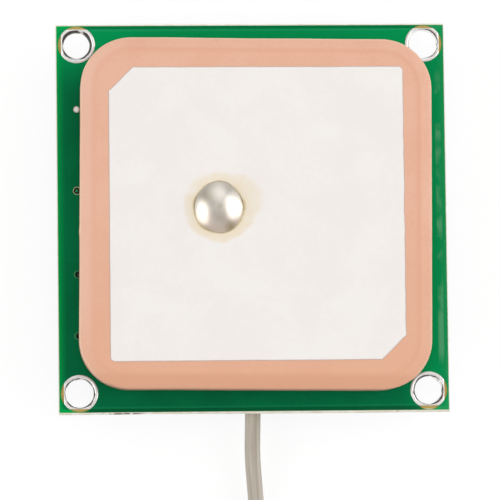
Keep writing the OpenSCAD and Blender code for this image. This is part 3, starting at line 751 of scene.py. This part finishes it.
tinnedHole = makeTinned()
for i, place in enumerate(plating["corners"]):
    shape = loft(platingLoops(place, plating["throat"][i]), ring=True)
    grime = [plating["rimShade"][i] * g for g in rimShadeRows]
    grime += [plating["barrelShade"][i] * g for g in barrelShadeRows]
    ring = newPiece(f"cornerPlating{i + 1}", shape, tinnedHole, sharp=60, grime=grime, barrel=barrelPart)
    fit(ring, "tin", f"corner_plating_{i + 1}")


# vias: the first is filled with solder, the others sag under the mask
def makeVia(name, light, dark, rim):
    # shade 0 is the middle's colour, 0.5 is black painted shade and 1 the rim's colour
    material, spot = newMaterial(name)
    shade = pointValue(spot, "shade")
    paintedShade = (spread(shade, 0.0, 0.5), (0.004, 0.012, 0.008))
    tone = mottled(spot, light, dark, 3000.0)["Color"]
    color = layered(tone, paintedShade, (spread(shade, 0.6, 1.0), rim))
    return finished(material, color, 0.28, grainHeight(spot, 6000.0), 0.2, 0.006, 0.4)


sunkVia = makeVia("sunkVia", (0.045, 0.34, 0.13), (0.03, 0.28, 0.1), (0.42, 0.45, 0.26))
# painted glint: the filled via's middle is a matte near-white, not metallic tin
filledVia = makeVia("filledVia", (0.99, 0.98, 0.97), (0.96, 0.95, 0.93), (0.74, 0.66, 0.55))
# radius and height over the mask, from the middle outwards, and the shade of each loop
filledSection = [
    (0.001, 0.05), (0.06, 0.045), (0.12, 0.033), (0.175, 0.018), (0.215, 0.01), (0.24, 0.003), (0.25, -0.03),
]
sunkSection = [
    (0.001, -0.035), (0.06, -0.04), (0.105, -0.06), (0.125, -0.1), (0.15, -0.09), (0.19, -0.03),
    (0.225, 0.006), (0.25, 0.012), (0.28, 0.01), (0.3, 0.003), (0.25, -0.006), (0.25, -0.03),
]
filledShade = [0.0, 0.0, 0.0, 0.0, 1.0, 0.8, 0.6]
ringedShade = [0.0, 0.0, 0.1, 0.5, 0.5, 0.5, 0.7, 1.0, 1.0, 0.8, 0.5, 0.5]
darkShade = [0.5] * 6 + [0.2] * 6
for i, shade in enumerate((filledShade, ringedShade, darkShade, darkShade)):
    y, lean, sides = vias["rows"][i], vias["lean"][i], vias["sides"]
    section = sunkSection if i else filledSection
    rows = [(vias["x"] + lean * (1 - r / vias["rim"]), r, z) for r, z in section]
    loops = [circleLoop(x, y, maskTop + z, r, sides) for x, r, z in rows]
    loops += [circleLoop(x, y, maskLow - z, r, sides) for x, r, z in rows[::-1]]
    via = newPiece(f"via{i + 1}", loft(loops), sunkVia if i else filledVia, shade=shade + shade[::-1])
    fit(via, "tin", f"via_{i + 1}")
print("board dressed")


# fired ceramic with a soft bevelled rim, placed a little askew by hand
ceramic = {
    "half": 12.5, "radius": 3.6, "turn": -0.75, "arcSteps": 18, "edgeSteps": 30, "shiftX": 0.045,
    "shyX": 0.045, "shyY": 0.07, "wavy": 0.02, "rimLift": 0.012, "nubY": -1.35, "nub": 0.06, "nubWidth": 0.2,
}
ceramicSection = [  # inset and height, from the lower edge to the flat top
    (0.16, 0.0), (0.07, 0.02), (0.02, 0.07), (0.0, 0.16), (0.0, 0.8), (0.0, 1.6), (0.0, 2.4), (0.0, 3.1),
    (0.0, 3.58), (0.006, 3.67), (0.03, 3.725), (0.07, 3.76), (0.13, 3.787), (0.25, 3.83), (0.4, 3.88),
    (0.55, 3.93), (0.66, 3.962), (0.76, 3.985), (0.88, 3.997), (1.05, 4.0), (1.5, 4.0),
]


def roundedSquare(radius, flat, arcSteps, edgeSteps):
    # points of a rounded square with their outward directions, an arc and then a straight run four times
    points = []
    for quarter, (sx, sy) in enumerate(((1, 1), (-1, 1), (-1, -1), (1, -1))):
        for k in range(arcSteps + edgeSteps):
            a = pi / 2 * (quarter + min(k / arcSteps, 1.0))
            run = 2 * flat * max(k - arcSteps, 0) / edgeSteps
            c, s = cos(a), sin(a)
            points.append((sx * flat + radius * c - run * s, sy * flat + radius * s + run * c, c, s))
    return points


def ceramicLoop(inset, height):
    c, s = cos(radians(ceramic["turn"])), sin(radians(ceramic["turn"]))
    flat = ceramic["half"] - ceramic["radius"]
    fade = ease((height - 3.5) / 0.2) * ease((1.2 - inset) / 0.5)  # only the rim is uneven
    loop = []
    for x, y, nx, ny in roundedSquare(ceramic["radius"], flat, ceramic["arcSteps"], ceramic["edgeSteps"]):
        outward = ceramic["wavy"] * (wave(x, y, height * 0.6, 4.0) + 0.35 * wave(x, y, height, 0.7))
        outward -= inset + ceramic["shyX"] * nx * nx + ceramic["shyY"] * ny * ny
        if x < 0:
            outward += ceramic["nub"] * exp(-((y - ceramic["nubY"]) / ceramic["nubWidth"]) ** 2)
        px, py = ceramic["shiftX"] + x + outward * nx, y + outward * ny
        lift = ceramic["rimLift"] * fade * wave(x, y, 3.0, 1.6)
        loop.append((px * c - py * s, px * s + py * c, ceramicLow + height + lift))
    return loop


def squareDistance(x, y, half, radius):
    # distance in mm to a rounded square's outline, below 0 inside it
    past = [calc("SUBTRACT", calc("ABSOLUTE", axis), half - radius) for axis in (x, y)]
    outer = flatLength(*[calc("MAXIMUM", p, 0.0) for p in past])
    return calc("SUBTRACT", calc("ADD", outer, calc("MINIMUM", calc("MAXIMUM", *past), 0.0)), radius)


def makeCeramic():
    material, spot = newMaterial("firedCeramic")
    aligned = addNode(spot.id_data, "ShaderNodeMapping", {
        "Vector": spot, "Rotation": (0.0, 0.0, -radians(ceramic["turn"]))})[0]
    x, y, z = axisMillis(aligned)
    edge = squareDistance(x, y, ceramic["half"], ceramic["radius"])
    tone = mottled(spot, (0.805, 0.46, 0.325), (0.775, 0.43, 0.3), 350.0, 0.5)
    # upper face: painted shade in a crease inside the rim, painted shade deepening to the front and along the
    # lower rim, painted light on the rim's left side
    creaseShade = times(spread(edge, -1.35, -0.95), spread(edge, -0.7, -0.9), 0.55)
    rimLight = times(spread(edge, -1.3, -0.6), spread(x, -8.0, -12.0), spread(y, -11.5, -7.0, 0.0, 0.5))
    face = layered(
        tone["Color"], (creaseShade, (0.75, 0.38, 0.26)), (spread(y, 2.0, -13.0, 0.0, 0.5), (0.75, 0.39, 0.245)),
        (spread(y, -11.1, -11.7, 0.0, 0.45), (0.68, 0.33, 0.2)), (rimLight, (0.86, 0.54, 0.41)))
    # walls: painted shade makes them darker than the top, most towards the board and at the front; painted
    # light makes them lighter on the left
    lit = times(spread(x, -11.9, -12.3), spread(z, ceramicLow + 1.0, ceramicTop - 0.8))
    walls = layered(
        (0.36, 0.195, 0.12), (spread(z, ceramicLow - 0.8, ceramicTop - 1.0), (0.7, 0.39, 0.27)),
        (spread(y, -11.9, -12.3, 0.0, 0.55), (0.3, 0.165, 0.1)), (lit, (0.78, 0.5, 0.375)))
    # painted highlight along the crest where the rim meets the walls, left off at the front and fainter on
    # the right
    crestHighlight = times(
        spread(edge, -0.19, -0.09), spread(z, ceramicTop - 0.33, ceramicTop - 0.27), spread(y, -12.3, -11.0),
        spread(x, 8.0, 12.0, 1.0, 0.35), spread(cloudy(spot, 500.0, 3.0), 0.3, 0.6, 0.45, 0.85))
    below = spread(z, ceramicTop - 0.28, ceramicTop - 0.4)
    color = layered(face, (below, walls), (crestHighlight, (0.86, 0.67, 0.5)))
    rough = spread(tone["Value"], 0.0, 1.0, 0.62, 0.5)
    return finished(material, color, rough, grainHeight(spot, 3500.0), 0.3, 0.02, 0.3)


ceramicLoops = [ceramicLoop(inset, height) for inset, height in ceramicSection]
ceramicLoops += [boreLoop(ceramicLoops[-1], ceramicTop), boreLoop(ceramicLoops[0], ceramicLow)]
ceramicBlock = newPiece("ceramicBlock", loft(ceramicLoops, ring=True), makeCeramic(), sharp=60)
fit(ceramicBlock, "patch_ceramic", "ceramic_block")

# printed silver with two trimmed corners and a slightly ragged edge
patch = {
    "x": 0.08, "y": -0.033, "turn": -0.12, "halfWidth": 10.455, "halfDepth": 10.415, "trim": 1.72,
    "corner": 0.3, "cornerCut": 0.09, "spacing": 0.22,
    "ragged": 0.014, "raggedRight": 0.035, "rightFrom": 8.0,
}
patchSection = [  # inset, height over the ceramic and how much of the dark border shows
    (0.0, 0.0, 1.0), (0.0, 0.012, 1.0), (0.012, 0.019, 1.0), (0.1, 0.02, 0.0), (0.2, 0.02, 0.0),
]


def patchOutline():
    # points of the print's edge with their outward directions
    w, d, trim = patch["halfWidth"], patch["halfDepth"], patch["trim"]
    bend, cut, limit = patch["corner"], patch["cornerCut"], patch["rightFrom"]
    ends = [
        (w, d - bend), (w - cut, d - cut), (w - bend, d), (-w + trim, d), (-w, d - trim),
        (-w, -d + bend), (-w + cut, -d + cut), (-w + bend, -d), (w - trim, -d), (w, -d + trim),
    ]
    c, s = cos(radians(patch["turn"])), sin(radians(patch["turn"]))
    points = []
    for (ax, ay), (bx, by) in zip(ends, ends[1:] + ends[:1]):
        span = hypot(bx - ax, by - ay)
        nx, ny = (by - ay) / span, -(bx - ax) / span
        reach = patch["ragged"]
        if min(ax, bx) > limit:  # the right edge is rougher
            right = 0.5 + 0.5 * tanh(ax - limit) * tanh(bx - limit)
            reach += (patch["raggedRight"] - reach) * right
        for t in shares(max(1, round(span / patch["spacing"])))[:-1]:
            x, y = ax + (bx - ax) * t, ay + (by - ay) * t
            push = reach * (wave(x, y, 2.0, 1.1) + 0.6 * wave(x, y, 6.0, 0.4))
            px, py = x + push * nx, y + push * ny
            points.append((patch["x"] + px * c - py * s, patch["y"] + px * s + py * c, nx, ny))
    return points


def silverTone(spot):
    return mottled(spot, (0.885, 0.85, 0.815), (0.87, 0.82, 0.785), 240.0, 0.35)


def makeSilver():
    material, spot = newMaterial("firedSilver")
    tone = silverTone(spot)
    border = times(spread(pointValue(spot, "border"), 0.1, 1.0), 0.85)
    color = layered(tone["Color"], (border, (0.5, 0.37, 0.33)))
    rough = spread(tone["Value"], 0.0, 1.0, 0.6, 0.48)
    return finished(material, color, rough, grainHeight(spot, 4500.0), 0.25, 0.012, 0.35)


silverFinish = makeSilver()
patchPoints = patchOutline()
patchLoops = [[(x - inset * nx, y - inset * ny, ceramicTop + z) for x, y, nx, ny in patchPoints]
              for inset, z, dark in patchSection]
patchLoops += [boreLoop(patchLoops[-1], patchTop), boreLoop(patchLoops[0], ceramicTop)]
patchElectrode = newPiece("patchElectrode", loft(patchLoops, ring=True), silverFinish, sharp=60,
                          border=[row[2] for row in patchSection] + [0.0, 0.0])
fit(patchElectrode, "silver", "patch_electrode")

# yellowed flux around the feed's solder, drawn out to the upper right
flux = {
    "base": 2.6, "lobe": 1.05, "lobeTurn": 0.35, "lobeWidth": 0.62, "ragged": 0.16, "inner": 1.74,
    "count": 120,
}
fluxSection = [  # share of the way in from the rim, height and how deep the yellow is
    (0.0, 0.0005, 0.0), (0.08, 0.002, 0.08), (0.2, 0.004, 0.3), (0.35, 0.006, 0.42), (0.55, 0.007, 0.48),
    (0.75, 0.009, 0.58), (0.87, 0.016, 0.8), (0.94, 0.03, 1.0), (1.0, 0.05, 1.1), (1.0, -0.003, 1.0),
    (0.0, -0.003, 0.0),
]


def fluxReach(a):
    c, s = 2 * cos(a), 2 * sin(a)
    away = atan2(sin(a - flux["lobeTurn"]), cos(a - flux["lobeTurn"]))
    reach = flux["base"] + flux["lobe"] * exp(-(away / flux["lobeWidth"]) ** 2)
    return reach + flux["ragged"] * (wave(c, s, 1.0, 0.8) + 0.6 * wave(c, s, 4.0, 0.3))


def fluxLoop(share, z):
    return turnLoop(feed["x"], feed["y"], fullTurn(flux["count"]), lambda a: (
        fluxReach(a) * (1 - share) + flux["inner"] * share, patchTop + z))


def makeFlux():
    # the print's own tone at the rim, cream further in and olive at the dome's foot
    material, spot = newMaterial("yellowFlux")
    depth = pointValue(spot, "depth")
    cloud = calc("SUBTRACT", cloudy(spot, 900.0, 3.0, 0.5), 0.5)
    pooled = spread(axisMillis(spot)[1], feed["y"] - 0.5, feed["y"] - 1.7, 1.0, 1.3)
    deep = calc("ADD", times(depth, pooled), times(cloud, spread(depth, 0.0, 0.3, 0.0, 0.8)))
    color = layered(
        silverTone(spot)["Color"], (spread(deep, 0.05, 0.75), (0.845, 0.74, 0.575)),
        (spread(deep, 0.75, 1.15), (0.6, 0.49, 0.27)))
    rough = spread(deep, 0.1, 1.0, 0.52, 0.35)
    return finished(material, color, rough, grainHeight(spot, 4500.0), 0.25, 0.012, 0.35)


fluxLoops = [fluxLoop(share, z) for share, z, deep in fluxSection]
fluxFilm = newPiece("fluxFilm", loft(fluxLoops, ring=True), makeFlux(), sharp=60,
                    depth=[row[2] for row in fluxSection])
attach(fluxFilm, "root")

# bright solder dome with a small pip where the pin's end shows
dome = {
    "radius": 1.85, "height": 0.798, "sink": 0.02, "dent": 0.028, "pip": 0.005, "pipWidth": 0.12,
    "count": 96, "rings": 30,
    # the pin's mark and two dark patches of painted reflection: place, outer and inner reach, and depth
    "marks": [(-2.59, 0.44, 0.27, 0.06, 0.4), (-1.8, -1.0, 0.6, 0.0, 1.0), (-3.5, 1.2, 0.95, 0.0, 0.5)],
}


def makeDome():
    material, spot = newMaterial("domeSolder")
    x, y, z = axisMillis(spot)
    worn = handled(spot, 400.0, 0.33, 0.38)
    # painted reflection: a warm pink tint over the dome's front half
    lower = spread(y, feed["y"] + 0.3, feed["y"] - 1.6, 0.0, 0.8)
    uneven = calc("ADD", z, times(cloudy(spot, 1500.0), 0.12))
    stainAndReflection = spread(uneven, patchTop + 0.2, patchTop + 0.08, 0.0, 0.55)
    # the pin's mark, then two dark patches of painted reflection, over the flux stain at the foot
    for markX, markY, outer, inner, depth in dome["marks"]:
        away = flatLength(calc("SUBTRACT", x, markX), calc("SUBTRACT", y, markY))
        stainAndReflection = calc("MAXIMUM", stainAndReflection, spread(away, outer, inner, 0.0, depth))
    color = layered(
        (0.87, 0.825, 0.76), (worn["Smudge"], (0.8, 0.74, 0.655)), (lower, (0.8, 0.66, 0.55)),
        (stainAndReflection, (0.46, 0.38, 0.23)))
    shine = spread(stainAndReflection, 0.0, 1.0, 1.0, 0.6)
    return finished(material, color, worn["Roughness"], worn["Height"], 0.2, 0.002, metallic=shine)


def domeLoop(share):
    # share runs from 0 at the foot to 1 at the top
    ball = (dome["radius"] ** 2 + dome["height"] ** 2) / (2 * dome["height"])
    slope = asin(dome["radius"] / ball) * (1 - share)
    radius = max(ball * sin(slope), 0.001)
    z = dome["height"] - ball * (1 - cos(slope)) - dome["sink"]
    z = max(z + dome["pip"] * exp(-(radius / dome["pipWidth"]) ** 2), 0.0)

    def reach(a):
        r = radius * (0.985 - 0.034 * cos(2 * a) + 0.012 * cos(3 * a + 2.0) + 0.006 * cos(5 * a))
        dent = dome["dent"] * wave(r * cos(a), r * sin(a), 3.0, 1.1) * ease(share / 0.25)
        return r, patchTop + z + dent

    return turnLoop(feed["x"], feed["y"], fullTurn(dome["count"]), reach)


domeLoops = [domeLoop(t) for t in shares(dome["rings"])]
fit(newPiece("feedDome", loft(domeLoops), makeDome()), "solder", "feed_solder")
print("patch antenna dressed")


# screening can, its tacks, and the stripped end of the cable
fit(softCopy("screenCan", "shield_can", canFinish, sharp=40.0), "can_sheet", "shield_can")

tacks = {
    "leg": 0.48, "endLeg": 0.02, "length": 3.2, "steps": 14, "arcSteps": 8, "inset": 0.01,
    "alongX": 6.0, "alongY": 5.7, "halfX": 10.0, "halfY": 9.5, "middleY": 1.0,
}


def tackLoop(t):
    # concave fillet that thins out at both ends, against the wall at x 0 and the copper at z 0
    leg = tacks["leg"] * (1 - abs(2 * t - 1) ** 3) + tacks["endLeg"]
    y, inset = tacks["length"] * (t - 0.5), tacks["inset"]
    angles = [pi / 2 * k for k in shares(tacks["arcSteps"])]
    return [(-inset, y, inset)] + [
        (leg * (1 - sin(a)) - inset / 2, y, inset / 2 - leg * (1 - cos(a))) for a in angles]


def buildTackTree():
    tree, given, result = makeTree("solderTacks", {"Object": ["Tack"], "Material": ["Material"]})
    shape = addNode(tree, "GeometryNodeObjectInfo", {"Object": given["Tack"]})["Geometry"]
    angle = geo(tree, "InputNamedAttribute", {"Name": "facing"}, data_type="FLOAT")
    turn = addNode(tree, "ShaderNodeCombineXYZ", {"Z": angle})[0]
    copies = geo(tree, "InstanceOnPoints", {"Points": given["Geometry"], "Instance": shape, "Rotation": turn})
    return endTree(result, copies, given["Material"])


tackPlaces = []  # place of each tack and the way it faces
for side, sideways in ((1, 0.0), (-1, pi)):
    for t in (1, -1):
        tackPlaces.append((side * tacks["halfX"], tacks["middleY"] + t * tacks["alongY"], sideways))
        tackPlaces.append((t * tacks["alongX"], tacks["middleY"] + side * tacks["halfY"], side * pi / 2))
tackTool = newPiece("tackTool", loft([tackLoop(t) for t in shares(tacks["steps"])]), solderFinish)
tackPoints = [Vector((x, y, padLow)) * mm for x, y, a in tackPlaces]
canTacks = growFrom("canTacks", tackPoints, [], buildTackTree(), {"Tack": tackTool, "Material": solderFinish},
                    facing=[a for x, y, a in tackPlaces], sharp=50)
bpy.data.objects.remove(tackTool)
fit(canTacks, "solder", "can_solder")

# woven braid: wires wound both ways around the insulation
braid = {
    "x": -0.05, "z": 1.95, "from": -11.42, "to": -9.6, "radius": 0.4, "wire": 0.045, "wires": 11,
    "turns": 0.85, "wireSides": 6, "wireSteps": 16,
}


def buildBraidTree():
    tree, given, result = makeTree("braidWires", {
        "Float": ["Radius", "Wire", "Height", "Turns"], "Int": ["Count"], "Material": ["Material"]})
    circle = geo(tree, "CurvePrimitiveCircle", {"Resolution": braid["wireSides"], "Radius": given["Wire"]})
    bundle = tree.nodes.new("GeometryNodeJoinGeometry")
    for reverse in (False, True):
        spiral = geo(tree, "CurveSpiral", {
            "Resolution": braid["wireSteps"], "Rotations": given["Turns"], "Start Radius": given["Radius"],
            "End Radius": given["Radius"], "Height": given["Height"], "Reverse": reverse})
        strand = geo(tree, "CurveToMesh", {"Curve": spiral, "Profile Curve": circle, "Fill Caps": True})
        around = geo(tree, "MeshLine", {"Count": given["Count"], "Offset": (0.0, 0.0, 0.0)})
        share = calc("DIVIDE", geo(tree, "InputIndex", {}), given["Count"])
        turn = addNode(tree, "ShaderNodeCombineXYZ", {"Z": times(share, 2 * pi)})[0]
        wire(bundle, {0: geo(tree, "InstanceOnPoints", {
            "Points": around, "Instance": strand, "Rotation": turn})})
    lying = geo(tree, "Transform", {
        "Geometry": bundle.outputs[0], "Rotation": (-pi / 2, 0.0, 0.0),
        "Translation": [braid[axis] * mm for axis in ("x", "from", "z")]})
    return endTree(result, lying, given["Material"])


cableBraid = growFrom("cableBraid", [(0, 0, 0)], [], buildBraidTree(), {
    "Radius": braid["radius"] * mm, "Wire": braid["wire"] * mm, "Height": (braid["to"] - braid["from"]) * mm,
    "Turns": braid["turns"], "Count": braid["wires"], "Material": tinFinish})
fit(cableBraid, "tin", "cable_braid")
fit(softCopy("braidSolder", "braid_solder", solderFinish, 0.12, 25.0), "solder", "braid_solder")
fit(softCopy("coreSolder", "core_solder", solderFinish, 0.06, 25.0), "solder", "core_solder")
print("underside dressed")


# parts that keep the solids' own shape
def makeChip(name, colors, length, middle, axis):
    # a body between two plated ends, along one axis
    material, spot = newMaterial(name + "Finish")
    away = calc("ABSOLUTE", calc("SUBTRACT", axisMillis(spot)[axis], middle))
    start = length / 2 - chipEnd
    plated = spread(away, start - 0.01, start + 0.01)
    color = layered(mottled(spot, *colors, 2500.0)["Color"], (plated, (0.8, 0.8, 0.78)))
    rough = spread(plated, 0.0, 1.0, 0.55, 0.3)
    return finished(material, color, rough, grainHeight(spot, 12000.0), 0.3, 0.01, 0.4, plated)


chipEnd = 0.25
chips = {  # two tones, length, and each one's middle along its axis, which is 0 for X and 1 for Y
    "capacitor": (((0.6, 0.44, 0.29), (0.5, 0.35, 0.21)), 1.0, [
        (-4.75, 0), (-6.2, 0), (1.1, 0), (-2.0, 1), (2.2, 1), (1.2, 0)]),
    "resistor": (((0.035, 0.035, 0.04), (0.02, 0.02, 0.024)), 1.0, [(-3.4, 0), (-1.2, 1)]),
    "inductor": (((0.1, 0.11, 0.12), (0.065, 0.075, 0.085)), 1.6, [(-6.4, 0), (5.2, 0), (-4.0, 1)]),
}
nodeFinish = {
    "top_copper": copperFinish, "bottom_copper": tinFinish, "ground_electrode": silverFinish,
    "adhesive_tape": tapeFinish, "feed_pin": brassFinish, "feed_joint": solderFinish,
    "filter_base": aluminaFinish, "filter_lid": goldFinish, "cable_core": tinFinish,
    "cable_insulation": whiteFinish, "plug_insulator": whiteFinish, "plug_contact": goldFinish,
}
for i in (1, 2):
    nodeFinish[f"amplifier_{i}_body"], nodeFinish[f"amplifier_{i}_leads"] = mouldingFinish, tinFinish
for kind, (colors, length, places) in chips.items():
    for i, place in enumerate(places):
        name = f"{kind}_{i + 1}"
        nodeFinish[name] = makeChip(name, colors, length, *place)
for name, material in nodeFinish.items():
    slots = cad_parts[name].data.materials
    slots.clear()
    slots.append(material)
print("kept solids finished:", len(nodeFinish))


# pale floor and soft studio light
studio = {
    "floorHalf": 4.0, "floorColor": (0.9, 0.9, 0.9), "glow": 0.8, "glowStrength": 1.06, "world": 0.36,
    "lamps": {  # place in metres, width and height in metres, watts
        "leftBox": ((-0.325, -0.075, 0.213), (0.52, 0.33), 0.835),
        "rightBox": ((0.328, 0.025, 0.224), (0.42, 0.43), 1.01),
        "backCard": ((0.0, 0.315, 0.262), (0.45, 0.45), 0.34),
        "frontCard": ((0.0, -0.35, 0.2), (0.4, 0.4), 0.1),
        "topCard": ((0.03, 0.03, 0.55), (0.4, 0.4), 0.1),
    },
    "aim": (0.0, 0.0, 0.005),
}


def makeFloor():
    material = bpy.data.materials.new("paleFloor")
    material.use_nodes = True
    tree = material.node_tree
    tree.nodes.clear()
    light = addNode(tree, "ShaderNodeLightPath", {})
    mirrored = calc("MAXIMUM", light["Is Glossy Ray"], light["Is Transmission Ray"])
    seen = calc("MAXIMUM", light["Is Camera Ray"], mirrored)
    diffuse = addNode(tree, "ShaderNodeBsdfDiffuse", {"Color": opaque(studio["floorColor"])})[0]
    glow = addNode(tree, "ShaderNodeEmission", {"Strength": studio["glowStrength"]})[0]
    mixed = addNode(tree, "ShaderNodeMixShader", {0: times(seen, studio["glow"]), 1: diffuse, 2: glow})[0]
    addNode(tree, "ShaderNodeOutputMaterial", {"Surface": mixed})
    return material


f = studio["floorHalf"] / mm
floor = newPiece("floor", ([(-f, -f, 0), (f, -f, 0), (f, f, 0), (-f, f, 0)], [(0, 1, 2, 3)]), makeFloor())

world = bpy.data.worlds.new("softRoom")
world.use_nodes = True
wire(world.node_tree.nodes["Background"], {"Color": (1.0, 1.0, 1.0, 1.0), "Strength": studio["world"]})
scene.world = world
for name, (place, size, watts) in studio["lamps"].items():
    lamp = bpy.data.lights.new(name, "AREA")
    lamp.shape, lamp.energy = "ELLIPSE", watts
    lamp.size, lamp.size_y = size
    holder = addObject(name, lamp)
    holder.location = place
    holder.rotation_euler = (Vector(studio["aim"]) - Vector(place)).to_track_quat("-Z", "Y").to_euler()
print("studio lit")
